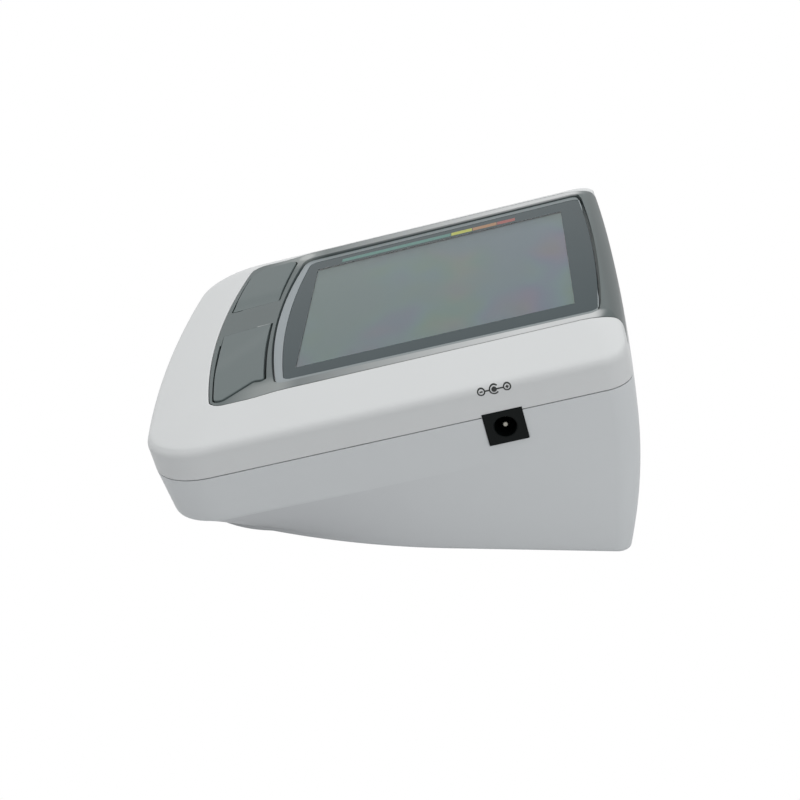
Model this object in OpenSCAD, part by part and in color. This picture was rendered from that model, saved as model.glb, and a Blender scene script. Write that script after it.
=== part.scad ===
// Desktop upper-arm blood pressure monitor: a wedge with a large tilted display and two keys.
// Millimetres, +Z up, +Y to the back, origin under the middle of the object on the table.
// "Face" coordinates are x, v (from the display window's front edge to the back) and w (out of it).

/* [Case] */
// Width of the case across its flanks at the seam
case_w = 132; // [128:1:140]
// Tilt of the display face
tilt = 15; // [13:0.5:17]
// Height of the face above the base, at the window's front edge
face_h = 41; // [39:0.5:45]
// Wall thickness of both case halves
wall = 2.2; // [1.8:0.1:2.6]
// From the window's back edge to the back wall, where the lens lies on its deck
rear_margin = 12.6; // [11:0.1:16]
// From the window's front edge forward to the front wall
front_reach = 46.5; // [45:0.5:49]
// Depth of the seam between the case halves below the face
seam_drop = 12.6; // [12:0.2:14]
// Depth of the crease along the flanks below the face
crease_drop = 26.7; // [24:0.5:28]
// Depth of the sharp shoulder line, before it is rounded
shoulder_drop = 4.8; // [4.4:0.1:5.2]
// Radius that rounds the shoulder
shoulder_r = 5; // [3:0.5:6]
// Plan radius of the front corners
front_corner_r = 19; // [14:1:24]
// Plan radius of the rear corners
rear_corner_r = 7; // [5:0.5:10]
// Radius of the bowed front wall
front_bow_r = 420; // [350:10:700]
// Radius of the bowed back wall in plan
rear_bow_r = 1200; // [800:50:3000]
// Radius of the back wall's bulge, seen from the side
rear_bulge_r = 150; // [130:5:220]
// Height of the back wall's bulge above the base
rear_bulge_z = 18; // [10:1:25]
// Radius that rounds the back edge of the face
rear_edge_r = 5; // [4:0.5:6]

/* [Base] */
// How far the base stands in from each flank at the back
base_inset = 1.5; // [1:0.1:4]
// How far the base stands in from each flank at its front, where it narrows
base_front_inset = 9; // [6:0.5:12]
// From the front wall back to the front edge of the base
base_setback = 9.9; // [8:0.1:13]
// Where the base stops narrowing, from the middle of the object to the back
base_straight_y = 17; // [10:1:25]
// Plan radius of the base's front corners
base_corner_r = 26; // [20:1:30]
// Radius round the edge of the base
base_edge_r = 1.5; // [1:0.1:2]
// How far the rubber feet stand below the base
foot_proud = 0.8; // [0.6:0.1:1.5]
// Radius of a rubber foot
foot_r = 5; // [4:0.5:6]
// Depth of a foot's seat in the base
foot_seat = 1.0; // [0.6:0.1:1.2]

/* [Console] */
// Height of the console panel above the face
console_top = 1.0; // [0.8:0.1:1.2]
// Thickness of the console panel
console_t = 2.6; // [2.3:0.1:2.8]
// From a flank in to the console's edge, at its front
console_margin = 15.6; // [14:0.1:16]
// How much the console narrows on each side towards its back
console_taper = 1.2; // [0.2:0.1:1.6]
// Width of the level rim of the case round the console
rim_w = 0.8; // [0.4:0.1:1.2]
// From the window's front edge forward to the console's front edge
console_reach = 27.9; // [27.8:0.1:29]
// Radius of the console's bowed front edge
console_bow_r = 263; // [240:5:300]
// Radius of the console's front corners
console_corner_r = 5; // [3:0.5:7]
// How far the console's rear lip reaches down the back
console_lip = 9; // [7:0.5:11]
// Thickness of the console's rear lip
console_lip_t = 2.4; // [2:0.1:2.8]

/* [Display] */
// Length of the display window, front to back
window_l = 79.7; // [74:0.1:84]
// Width of the rail between the console's edge and the lens, at the front
rail_w = 7.7; // [7.4:0.1:8.4]
// Width of the lens's dark border beside the window, at the front
lens_border = 6.7; // [6:0.1:7.5]
// How much the lens widens on each side towards its back
lens_flare = 0.9; // [0.4:0.1:1.1]
// From the window forward to the lens's front edge
lens_front = 6.1; // [5.6:0.1:6.4]
// From the window's back edge back to the lens's back edge
lens_rear_border = 7.5; // [7:0.1:8]
// Thickness of the lens
lens_t = 1.75; // [1.6:0.05:2]
// Radius of the lens's corners
lens_corner_r = 2.5; // [1.5:0.5:3]
// Width of the light strip in front of the lens
strip_w = 3.0; // [2.4:0.1:3.2]
// Width of the bezel's arms beside the lens
arm_w = 2.5; // [1.8:0.1:2.8]
// Gap between the console and what is set in it
trim_gap = 0.35; // [0.25:0.05:0.45]
// Thickness of the deck that the lens and console lie on
deck_t = 1.9; // [1.6:0.1:2.1]
// Thickness of the display glass
glass_t = 2.8; // [2.4:0.1:3]
// Thickness of the reflector behind the glass
reflector_t = 1.4; // [1:0.1:1.6]

/* [Keys] */
// Distance from the middle to the start key's pivot edge
start_pivot_x = 0.5; // [-2:0.5:2]
// Distance from the middle to the memory key's pivot edge
memory_pivot_x = -16.5; // [-19:0.5:-14.5]
// How far a key's top stands above the console
key_proud = 0.4; // [0.3:0.1:0.8]
// Gap round a key
key_gap = 0.3; // [0.25:0.05:0.4]
// Thickness of a key's plate
key_t = 2.4; // [2:0.1:2.6]
// Angle that a key tilts when it is pressed
key_angle = 1.2; // [0.8:0.1:1.4]
// Distance from the start key's pivot to its switch
start_arm = 25; // [22:0.5:26]
// Distance from the memory key's pivot to its switch
memory_arm = 20.5; // [18:0.5:22]
// Side of a key switch's square body
switch_w = 6; // [5.5:0.5:7]
// Height of a key switch's body
switch_h = 3.5; // [3:0.1:3.8]
// Radius of a switch stem
stem_r = 1.7; // [1.4:0.1:2]

/* [Board] */
// Thickness of the main board
board_t = 1.6; // [1.2:0.1:1.7]
// From a flank in to the main board's edge
board_margin = 11; // [10:0.5:12]
// Gap between the display deck and the board
board_gap = 6.8; // [6.6:0.1:7.2]
// Radius of the board screws' shanks
board_screw_r = 1.0; // [0.9:0.05:1.2]
// Radius of the case screws' shanks
case_screw_r = 1.45; // [1.3:0.05:1.6]
// Radius of the case screw bosses
boss_r = 3.3; // [3:0.1:3.8]

/* [Inlets] */
// Width of the power inlet's face
inlet_w = 10.6; // [10:0.1:11]
// Height of the power inlet's face
inlet_h = 9.3; // [9:0.1:9.6]
// Depth of the power inlet's housing
inlet_l = 13.5; // [12:0.5:14]
// Radius of the power inlet's hole
inlet_hole_r = 3.0; // [2.85:0.05:3.2]
// Radius of the power inlet's centre pin
inlet_pin_r = 1.0; // [0.9:0.05:1.15]
// Depth of the power inlet's hole
inlet_depth = 9.5; // [9:0.5:10]
// Where the power inlet lies, from the window's front edge to the back
inlet_v = 55.7; // [50:0.5:60]
// Radius of the air socket's bore
socket_r = 2.5; // [2.2:0.05:2.8]
// Depth of the air socket's bore
socket_depth = 11; // [9:0.5:12]
// Radius of the air socket's flange
socket_flange_r = 5.2; // [5:0.1:5.5]
// Depth of the air line below the face
air_drop = 18.7; // [18.5:0.1:19]
// Outer radius of the air tubes
tube_r = 2.4; // [2.2:0.1:2.6]
// Bore radius of the air tubes
tube_bore_r = 1.4; // [1.2:0.05:1.5]

/* [Pump] */
// Radius of the pump's motor
motor_r = 12; // [11:0.5:12.5]
// Length of the motor's can
motor_l = 30; // [26:1:32]
// Radius of the pump head
head_r = 13; // [12.5:0.5:13.5]
// Length of the pump head
head_l = 18; // [16:1:20]
// From the base's flank in to the pump's axis
pump_inset = 17.5; // [17:0.5:18.5]
// Length of the air tube's straight end at the pump
pump_tube_l = 4; // [3:0.5:8]
// Radius of the motor's shaft
shaft_r = 1.0; // [0.8:0.1:1.5]
// Thickness of the rubber cradle round the motor
cradle_t = 1.4; // [1:0.1:1.6]

/* [Battery] */
// Radius of a cell
cell_r = 7.1; // [6.9:0.05:7.2]
// Length of a cell with its nub
cell_l = 50.2; // [49.2:0.1:50.5]
// Length of a contact spring
spring_l = 3.0; // [2.5:0.1:3.5]
// Thickness of the contact plates
plate_t = 0.5; // [0.4:0.1:0.6]
// Thickness of the battery door
door_t = 2.0; // [1.8:0.1:2.4]
// Running gap round the battery door
door_gap = 0.25; // [0.2:0.05:0.35]
// How far the door's side tongues reach into their grooves
tongue_w = 1.4; // [1.1:0.1:1.6]
// Gap between the battery bay and the pump
bay_gap = 2.1; // [1.5:0.1:3]
// Width of the rating label
label_w = 48; // [40:1:56]
// Length of the rating label
label_l = 24; // [18:1:28]

/* [Hidden] */
$fn = 48;
ROUND = 6;
TINY = 0.01;
BIG = 200;

// Face frame
face_z = foot_proud + face_h;
base_rear_hw = case_w / 2 - base_inset;
base_front_hw = case_w / 2 - base_front_inset;
console_front_hw = case_w / 2 - console_margin;
console_rear_hw = console_front_hw - console_taper;
lens_front_hw = console_front_hw - rail_w;
lens_rear_hw = lens_front_hw + lens_flare;
window_w = 2 * (lens_front_hw - lens_border);
lens_back = window_l + lens_rear_border;
slope_x0 = case_w / 2 - 0.4;
slope_run = slope_x0 - console_front_hw - rim_w;
slope_angle = atan2(console_top + shoulder_drop, slope_run);
front_angle = atan2(console_top + shoulder_drop, front_reach - console_reach - rim_w);
front_fillet_w = -shoulder_drop - shoulder_r * tan((90 - front_angle) / 2);
bulge_z = foot_proud + rear_bulge_z;
front_part = shoulder_r - (shoulder_r - front_reach) * cos(tilt) + front_fillet_w * sin(tilt);
rear_top_v = window_l + rear_margin;
rear_part = rear_top_v * cos(tilt) - (console_top - console_t) * sin(tilt) + rear_bulge_r
    - sqrt(pow(rear_bulge_r, 2)
        - pow(face_z + rear_top_v * sin(tilt) + (console_top - console_t) * cos(tilt) - bulge_z, 2));
case_d = front_part + rear_part;
face_y = front_part - case_d / 2;
rear_y = case_d / 2;

// Layers below the face, as w levels
console_w = console_top - console_t;
deck_top_w = console_w;
deck_w = deck_top_w - deck_t;
seam_w = -seam_drop;
crease_w = -crease_drop;
lens_top_w = console_w + lens_t;
board_top_w = deck_w - board_gap;
board_w = board_top_w - board_t;
air_w = -air_drop;
shelf_w = -7.2;
seat_gap = 0.1;

// A height in the table's frame for a point of the face frame
function up(v, w) = face_z + v * sin(tilt) + w * cos(tilt);
function along(v, w) = face_y + v * cos(tilt) - w * sin(tilt);
function on_face(x, v, w) = [x, along(v, w), up(v, w)];
// The v of a point at table depth y and face level w
function face_v(y, w) = (y - face_y + w * sin(tilt)) / cos(tilt);

// Back wall, seen from the side: y at a height, and v at a face level
function back_y(z) = rear_y - rear_bulge_r + sqrt(pow(rear_bulge_r, 2) - pow(z - bulge_z, 2));
function back_v(w) =
    let (a = face_y - w * sin(tilt) - rear_y + rear_bulge_r,
         b = face_z + w * cos(tilt) - bulge_z,
         h = a * cos(tilt) + b * sin(tilt))
    -h + sqrt(h * h - a * a - b * b + pow(rear_bulge_r, 2));

// Right half of a plan outline, from the front's middle to the back's middle. bow_y, where it is
// given, is where a side that narrows to the front turns straight.
function half_outline(front_hw, rear_hw, front_q, rear_q, front_bow, front_r, rear_bow, rear_r,
                      sides = 1, bow_y = undef) =
    let (cx = front_hw - front_r,
         cq = front_q + front_bow - sqrt(pow(front_bow - front_r, 2) - cx * cx),
         turn = asin(cx / (front_bow - front_r)),
         dx = rear_hw - rear_r,
         dq = rear_q - rear_bow + sqrt(pow(rear_bow - rear_r, 2) - dx * dx),
         back_turn = asin(dx / (rear_bow - rear_r)))
    concat(
        [for (i = [0 : 3]) let (a = turn * i / 4)
            [front_bow * sin(a), front_q + front_bow * (1 - cos(a))]],
        [for (i = [0 : ROUND - 1]) let (a = turn + (90 - turn) * i / ROUND)
            [cx + front_r * sin(a), cq - front_r * cos(a)]],
        [for (i = [0 : sides - 1]) let (q = cq + (dq - cq) * i / sides)
            [is_undef(bow_y) ? front_hw + (rear_hw - front_hw) * i / sides
                : rear_hw - (rear_hw - front_hw) * pow(max(0, (bow_y - q) / (bow_y - cq)), 2), q]],
        [for (i = [0 : ROUND - 1]) let (a = 90 - (90 - back_turn) * i / ROUND)
            [dx + rear_r * sin(a), dq + rear_r * cos(a)]],
        [for (i = [0 : 3]) let (a = back_turn * (1 - i / 3))
            [rear_bow * sin(a), rear_q - rear_bow * (1 - cos(a))]]
    );

// The whole loop of a right half, in 2D or 3D
function whole(half) = concat(half, [for (i = [len(half) - 2 : -1 : 1])
    concat([-half[i][0]], [for (k = [1 : len(half[i]) - 1]) half[i][k]])]);

// A polygon with each corner rounded by its own radius
function rounded(points, radii, steps = 5) = [
    for (i = [0 : len(points) - 1])
        let (n = len(points),
             p = points[i],
             a = points[(i + n - 1) % n] - p,
             b = points[(i + 1) % n] - p,
             ua = a / norm(a),
             ub = b / norm(b),
             half_angle = acos(max(-1, min(1, ua * ub))) / 2,
             r = radii[i])
        if (r == 0) p
        else
            let (reach = r / tan(half_angle),
                 centre = p + (ua + ub) / norm(ua + ub) * r / sin(half_angle),
                 from = p + ua * reach - centre,
                 to = p + ub * reach - centre)
            for (k = [0 : steps])
                let (t = k / steps,
                     arc = 180 - 2 * half_angle,
                     q = (from * sin(arc * (1 - t)) + to * sin(arc * t)) / sin(arc))
                centre + q
];

// A closed solid through rings of points that lie one above the other
module skin(rings) {
    n = len(rings[0]);
    m = len(rings);
    polyhedron(
        points = [for (ring = rings) for (p = ring) p],
        faces = concat(
            [[for (i = [0 : n - 1]) i]],
            [[for (i = [n - 1 : -1 : 0]) (m - 1) * n + i]],
            [for (k = [0 : m - 2]) for (i = [0 : n - 1]) let (j = (i + 1) % n)
                [k * n + i, (k + 1) * n + i, (k + 1) * n + j]],
            [for (k = [0 : m - 2]) for (i = [0 : n - 1]) let (j = (i + 1) % n)
                [k * n + i, (k + 1) * n + j, k * n + j]]
        ),
        convexity = 6
    );
}

// Puts children in the face frame
module on_tilt() {
    translate([0, face_y, face_z]) rotate([tilt, 0, 0]) children();
}

// A flat plate in the face frame between two levels
module plate(points, low, high) {
    translate([0, 0, low]) linear_extrude(high - low) polygon(points);
}

module box(low, high) {
    translate(low) cube(high - low);
}

// A pin along w in the face frame
module post(x, v, low, high, r) {
    translate([x, v, low]) cylinder(h = high - low, r = r);
}

module mirrored_x() {
    children();
    mirror([1, 0, 0]) children();
}

// ---- Outer form of the case ----

// Distance from the case's axis to a flank or the front wall at level w, for a slope that reaches
// the console's edge
function wall_at(w, reach, angle) =
    let (turn = shoulder_r * tan((90 - angle) / 2),
         low = -shoulder_drop - turn)
    w <= low ? reach
    : w < low + shoulder_r * cos(angle)
        ? reach - shoulder_r + sqrt(pow(shoulder_r, 2) - pow(w - low, 2))
    : reach - (w + shoulder_drop) / tan(angle);

// How far the face level w has come from the shoulder to the console's top, from 0 to 1
function rise(w) = max(0, min(1, (w + shoulder_drop) / (console_top + shoulder_drop)));
function mix(a, b, t) = a + (b - a) * t;

flank_low_w = -shoulder_drop - 3.4;
function upper_hw(w) = w <= flank_low_w
    ? mix(case_w / 2, slope_x0, (w - seam_w) / (flank_low_w - seam_w))
    : wall_at(w, slope_x0, slope_angle);
function top_retreat(w) =
    let (start = console_top - rear_edge_r)
    w <= start ? 0 : rear_edge_r - sqrt(max(0, pow(rear_edge_r, 2) - pow(w - start, 2)));

function upper_half(w, inset = 0) = half_outline(
    upper_hw(w) - inset,
    upper_hw(w) - inset - (console_front_hw - console_rear_hw) * rise(w),
    -wall_at(w, front_reach, front_angle) + inset,
    back_v(w) - top_retreat(w) - inset,
    mix(front_bow_r, console_bow_r + rim_w, rise(w)) - inset,
    mix(front_corner_r, console_corner_r + rim_w, rise(w)) - min(inset, console_corner_r - 1),
    rear_bow_r - inset,
    rear_corner_r - min(inset, rear_corner_r - 1)
);

UPPER_LEVELS = [for (w = [
    seam_w, flank_low_w, -7.2, -6.3, -5.4, -4.7, -4.1, -3.4, -2.2, -0.8, 0.2, 0.7, console_top
]) w];

module upper_form() {
    skin([for (w = UPPER_LEVELS) [for (p = whole(upper_half(w))) on_face(p[0], p[1], w)]]);
}

// Lower case: level rings of the tray down to the crease, then the plinth down to the base
function tray_half(w, inset, edge = 0) =
    let (t = (w - seam_w) / (crease_w - seam_w))
    half_outline(
        case_w / 2 - 0.5 * t - inset - edge,
        case_w / 2 - 0.5 * t - inset - edge,
        -front_reach + 1.1 * t + inset + edge,
        back_v(w) - inset,
        front_bow_r - inset,
        front_corner_r - inset,
        rear_bow_r - inset,
        rear_corner_r - inset,
        SIDES
    );
SIDES = 5;
REAR_FROM = 4 + ROUND + SIDES;

function base_half(inset) = half_outline(
    base_front_hw - inset,
    base_rear_hw - inset,
    -case_d / 2 + base_setback + inset,
    back_y(foot_proud + base_edge_r) - inset,
    front_bow_r - inset,
    base_corner_r - inset,
    rear_bow_r - inset,
    rear_corner_r - inset,
    SIDES,
    base_straight_y
);

// A ring part of the way from the crease to the base, with its back on the bulged wall
function plinth_ring(top, bottom, t, inset) = [
    for (i = [0 : len(top) - 1])
        let (p = mix(top[i], bottom[i], t),
             share = i < REAR_FROM ? 0 : min(1, (i - REAR_FROM) / ROUND),
             chord = mix(back_y(top[i][2]), back_y(bottom[i][2]), t))
        [p[0], p[1] + share * (back_y(p[2]) - chord), p[2]]
];

function lower_rings(inset, floor_z, seam_level) =
    let (tray = [for (w = [seam_level, crease_w + 1.5 + inset / 2])
             [for (p = tray_half(w, inset)) on_face(p[0], p[1], w)]],
         crease = [for (p = tray_half(crease_w + inset / 2, inset, 0.5))
             on_face(p[0], p[1], crease_w + inset / 2)],
         edge = [for (p = base_half(inset)) [p[0], p[1], floor_z + base_edge_r]],
         round_1 = [for (p = base_half(inset + base_edge_r * 0.3))
             [p[0], p[1], floor_z + base_edge_r * 0.3]],
         round_2 = [for (p = base_half(inset + base_edge_r)) [p[0], p[1], floor_z]])
    [round_2, round_1, edge,
     plinth_ring(crease, edge, 2 / 3, inset), plinth_ring(crease, edge, 1 / 3, inset),
     crease, tray[1], tray[0]];

module lower_form(inset, floor_z, seam_level) {
    skin([for (half = lower_rings(inset, floor_z, seam_level)) whole(half)]);
}

// ---- Outlines on the face ----

function console_half(gap, back = undef) = half_outline(
    console_front_hw + gap,
    console_rear_hw + gap,
    -console_reach - gap,
    is_undef(back) ? lens_back + 30 : back,
    console_bow_r + gap,
    console_corner_r + gap,
    rear_bow_r,
    2
);
lens_bow_r = 276;
lens_rear_bow_r = 600;
function lens_half(gap) = half_outline(
    lens_front_hw + gap,
    lens_rear_hw + gap,
    -lens_front - gap,
    lens_back + gap,
    lens_bow_r + gap,
    lens_corner_r + gap,
    lens_rear_bow_r + gap,
    lens_corner_r + gap
);
function bezel_half(gap) = half_outline(
    lens_front_hw + arm_w + gap,
    lens_rear_hw + arm_w + gap,
    -lens_front - strip_w - gap,
    lens_back + gap,
    lens_bow_r - 50,
    lens_corner_r + 1 + gap,
    lens_rear_bow_r + gap,
    lens_corner_r + gap
);

// Keys: a band between two bows, cut by the key's own ends
key_front_v = 1.75 - console_reach;
key_back_v = -11.4;
key_bow_r = 300;
function key_front(x) = key_front_v + key_bow_r - sqrt(pow(key_bow_r, 2) - x * x);
function key_back(x) = key_back_v + key_bow_r - sqrt(pow(key_bow_r, 2) - x * x);
start_tip_x = console_front_hw - 0.4;
function start_x(t) = mix(start_pivot_x, start_tip_x, t);
function start_outline() = rounded(
    [
        [start_pivot_x + 1.5, key_front(start_pivot_x + 1.5)],
        for (t = [0.27, 0.52, 0.76]) [start_x(t), key_front(start_x(t))],
        [start_tip_x, key_front(start_tip_x)],
        [start_tip_x - 10.2, -11.9],
        [start_tip_x - 9.2, key_back(start_tip_x - 9.2)],
        for (t = [0.56, 0.31]) [start_x(t), key_back(start_x(t))],
        [start_pivot_x, key_back(start_pivot_x)]
    ],
    [1, 0, 0, 0, 2, 1.5, 0.7, 0, 0, 1]
);
memory_tip_x = 3.3 - console_front_hw;
function memory_x(t) = mix(memory_pivot_x, memory_tip_x, t);
function memory_outline() = rounded(
    [
        [memory_pivot_x + 1, key_front(memory_pivot_x + 1)],
        [memory_pivot_x, key_back(memory_pivot_x)],
        for (t = [0.31, 0.64]) [memory_x(t), key_back(memory_x(t))],
        [memory_tip_x, key_back(memory_tip_x)],
        [memory_tip_x, key_front(memory_tip_x)],
        for (t = [0.57, 0.25]) [memory_x(t), key_front(memory_x(t))]
    ],
    [1, 1, 0, 0, 2.5, 9, 0, 0]
);

// A key's hole: the same outline moved outward
function grown(points, gap) =
    let (n = len(points))
    [for (i = [0 : n - 1])
        let (t = points[(i + 1) % n] - points[(i + n - 1) % n], u = t / norm(t))
        points[i] + gap * key_side(points) * [u[1], -u[0]]];
// The sense in which an outline runs: 1 where its outside lies to the right of its way
function key_side(points) =
    let (n = len(points))
    sign([for (i = [0 : n - 1]) points[i][0] * points[(i + 1) % n][1]
        - points[(i + 1) % n][0] * points[i][1]] * [for (i = [0 : n - 1]) 1]);

key_top_w = console_top + key_proud;
key_w = key_top_w - key_t;
switch_top_w = board_top_w + switch_h;
stem_top_w = deck_w - 1.4;
switch_v = -18.5;
start_switch_x = start_pivot_x + start_arm;
memory_switch_x = memory_pivot_x - memory_arm;
stem_travel = start_arm * sin(key_angle);

// ---- Places inside ----

// Case screws, as plan places
front_screw = [base_front_hw - 17, along(key_front_v - 3.45, seam_w)];
rear_screw = [case_w / 2 - 10, rear_y - 11.2];
SCREWS = [for (s = [-1, 1]) for (p = [front_screw, rear_screw]) [s * p[0], p[1]]];
screw_head_r = case_screw_r + 1.1;
lower_boss_r = boss_r + 1.1;
screw_bite = 9;
function seam_z(y) = up(face_v(y, seam_w), seam_w);

// Board screws, in the face frame
board_hw = case_w / 2 - board_margin;
board_front_v = -24;
board_back_v = lens_back - 3.2;
board_screw_x = board_hw - 4;
BOARD_SCREWS = [for (s = [-1, 1]) for (v = [-5, board_back_v - 5]) [s * board_screw_x, v]];

front_foot = [base_front_hw - 15, front_screw[1] + 11.15];
rear_foot = [base_rear_hw - 11.5, rear_y - 24.75];
foot_places = [for (p = [front_foot, rear_foot]) for (s = [-1, 1]) [s * p[0], p[1]]];
floor_top = foot_proud + wall;

// Air line
manifold_x = -30;
manifold_v = 2.8;
manifold_l = 16;
nozzle_l = 3;
socket_x = -case_w / 2 - 0.2;
inlet_x = case_w / 2 + 0.2;
inlet_w_mid = seam_w + 0.6 - inlet_h / 2;
socket_inner_x = socket_x + socket_depth + 3;

// Pump, along Y
pump_x = base_rear_hw - pump_inset;
pump_z = floor_top + max(cradle_t + motor_r, head_r + 0.4);
cover_l = 4;
crank_r = 5.5;
crank_l = 5;
crank_room = 0.5;
air_y = along(manifold_v, air_w);
air_z = up(manifold_v, air_w);
bend_r = 6;
cover_y = air_y + bend_r + pump_tube_l + 0.1;
head_y = cover_y + cover_l;
pump_y = head_y + head_l;

// Battery bay
cell_pitch = 2 * cell_r + 0.6;
bay_hw = 2 * cell_pitch + 0.3;
bay_l = cell_l + spring_l + 2 * plate_t + 0.3;
bay_wall = 1.6;
bay_x = pump_x - motor_r - cradle_t - bay_gap - bay_wall - bay_hw;
bay_back_y = rear_y - 8.5;
bay_front_y = bay_back_y - bay_l;
door_z = foot_proud + 0.1;
door_top_z = door_z + door_t;
cell_z = door_top_z + 0.25 + cell_r;
bay_top_z = cell_z + cell_r + 0.3;
door_hw = bay_hw - 0.6;
door_front_y = bay_front_y - 3;
door_back_y = back_y(foot_proud) - 0.8;
tongue_z = door_z + 0.7;

// Exhaust valve, along w
valve_x = manifold_x;
valve_v = -14.5;
valve_w = 13;
valve_h = 15;
plunger_r = 2.0;
plunger_travel = 0.8;

// ---- Case ----

module boss_above(p) {
    // a post of the upper case over a screw, from the seam up to the deck
    intersection() {
        translate([p[0], p[1], 0]) cylinder(h = face_z + 30, r = boss_r);
        on_tilt() box([-BIG, -BIG, seam_w], [BIG, BIG, deck_w + TINY]);
    }
}

module screw_hole(p, r, low, high) {
    translate([p[0], p[1], low]) cylinder(h = high - low, r = r);
}

module console_zone(gap) {
    // where the console lies: its plate, and its lip down the back
    plate(whole(console_half(gap)), deck_top_w, console_top + 5);
    lip = back_v(-console_lip) - console_lip_t - gap;
    plate(
        [[-console_rear_hw - gap, lip], [console_rear_hw + gap, lip],
         [console_rear_hw + gap, lens_back + 30], [-console_rear_hw - gap, lens_back + 30]],
        -console_lip - gap,
        deck_top_w + TINY
    );
}

module upper_case() {
    hollow_hw = case_w / 2 - 9.5;
    hollow_back_v = back_v(-console_lip) - console_lip_t - 2;
    color([0.84, 0.85, 0.85]) difference() {
        union() {
            difference() {
                upper_form();
                on_tilt() {
                    console_zone(0.15);
                    plate(whole(upper_half(seam_w, wall)), seam_w - 1, shelf_w);
                    plate(
                        rounded(
                            [[-hollow_hw, 8 - front_reach], [hollow_hw, 8 - front_reach],
                             [hollow_hw, hollow_back_v], [-hollow_hw, hollow_back_v]],
                            [12, 12, 3, 3]
                        ),
                        shelf_w - 1,
                        deck_w
                    );
                    // window of the display, and the holes under the keys
                    box(
                        [-window_w / 2 - 3.5, -1, deck_w - 1],
                        [window_w / 2 + 3.5, window_l + 1.5, 1]
                    );
                    plate(grown(start_outline(), key_gap + 0.2), deck_w - 1, 1);
                    plate(grown(memory_outline(), key_gap + 0.2), deck_w - 1, 1);
                    inlet_room();
                }
            }
            for (p = SCREWS) boss_above(p);
            on_tilt() for (p = BOARD_SCREWS) post(p[0], p[1], board_top_w, deck_w + TINY, 2.8);
        }
        for (p = SCREWS) screw_hole(p, case_screw_r + 0.05, 0, seam_z(p[1]) + screw_bite);
        on_tilt() for (p = BOARD_SCREWS)
            post(p[0], p[1], board_top_w - 1, deck_w - 1, board_screw_r + 0.05);
    }
}

// Room for the power inlet, in the face frame
module inlet_room() {
    box(
        [case_w / 2 - 8, inlet_v - inlet_w / 2 - 0.1, inlet_w_mid - inlet_h / 2 - 0.1],
        [case_w / 2 + 5, inlet_v + inlet_w / 2 + 0.1, inlet_w_mid + inlet_h / 2 + 0.1]
    );
}

module socket_room() {
    translate([socket_x - 1, manifold_v, air_w]) rotate([0, 90, 0])
        cylinder(h = 8, r = socket_flange_r + 0.1);
}

module below_seam() {
    on_tilt() box([-BIG, -BIG, -BIG], [BIG, BIG, seam_w]);
}

module battery_bay() {
    // walls and ceiling of the bay, standing on the floor
    translate([bay_x, 0, 0]) difference() {
        box(
            [-bay_hw - bay_wall, bay_front_y - bay_wall, floor_top - TINY],
            [bay_hw + bay_wall, bay_back_y + bay_wall, bay_top_z + bay_wall]
        );
        box([-bay_hw, bay_front_y, 0], [bay_hw, bay_back_y, bay_top_z]);
        for (s = [-1, 1])
            box(
                [s * lead_x - 1.8, bay_front_y, bay_top_z - 1],
                [s * lead_x + 1.8, bay_front_y + plate_t + 0.3, bay_top_z + 5]
            );
    }
    // rails over the door's tongues
    translate([bay_x, 0, 0]) for (s = [-1, 1])
        box(
            [s > 0 ? bay_hw : -door_hw - tongue_w - 2.2, door_front_y, floor_top - TINY],
            [s > 0 ? door_hw + tongue_w + 2.2 : -bay_hw, bay_back_y + bay_wall, floor_top + 1.6]
        );
}

module door_room() {
    back = rear_y + 5;
    translate([bay_x, 0, 0]) {
        box(
            [-door_hw - door_gap, door_front_y - door_gap, 0],
            [door_hw + door_gap, back, door_top_z + door_gap]
        );
        box(
            [-door_hw - tongue_w - door_gap, door_front_y - door_gap, tongue_z - door_gap],
            [door_hw + tongue_w + door_gap, back, door_top_z + door_gap]
        );
    }
}

module lower_case() {
    color([0.78, 0.79, 0.8]) difference() {
        union() {
            difference() {
                lower_form(0, foot_proud, seam_w);
                lower_form(wall, floor_top, seam_w + 3);
            }
            intersection() {
                union() {
                    battery_bay();
                    for (p = SCREWS) translate([p[0], p[1], floor_top - TINY])
                        cylinder(h = 80, r = lower_boss_r);
                    pump_saddle();
                }
                below_seam();
                lower_form(wall / 2, foot_proud + wall / 2, seam_w);
            }
        }
        door_room();
        for (p = SCREWS) {
            screw_hole(p, case_screw_r + 0.2, -1, seam_z(p[1]) + 10);
            screw_hole(p, screw_head_r + 0.3, -1, screw_seat_z(p[1]));
        }
        for (p = foot_places) translate([p[0], p[1], -1])
            cylinder(h = 1 + foot_proud + foot_seat, r = foot_r + 0.1);
        on_tilt() {
            inlet_room();
            socket_room();
            translate([socket_x - 1, manifold_v, air_w]) rotate([0, 90, 0])
                cylinder(h = 12, r = socket_body_r + 0.1);
        }
    }
}
// Height of the ledge that a case screw's head pulls on
function screw_seat_z(y) = max(foot_proud + 3, seam_z(y) - 14);
socket_body_r = socket_r + 1.3;

// Two low blocks of the lower case that carry the pump's cradle
module pump_saddle() {
    for (y = [pump_y + 5, pump_y + motor_l - 9])
        difference() {
            box([pump_x - 10, y, floor_top - TINY], [pump_x + 10, y + 4, pump_z - 7]);
            translate([pump_x, y - 1, pump_z]) rotate([-90, 0, 0])
                cylinder(h = 6, r = motor_r + cradle_t + 0.02);
        }
}

module console_panel() {
    color([0.43, 0.47, 0.46]) difference() {
        intersection() {
            upper_form();
            on_tilt() console_zone(0);
        }
        on_tilt() {
            plate(whole(bezel_half(trim_gap)), console_w - 1, console_top + 1);
            plate(grown(start_outline(), key_gap), console_w - 1, console_top + 1);
            plate(grown(memory_outline(), key_gap), console_w - 1, console_top + 1);
        }
    }
}

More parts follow.
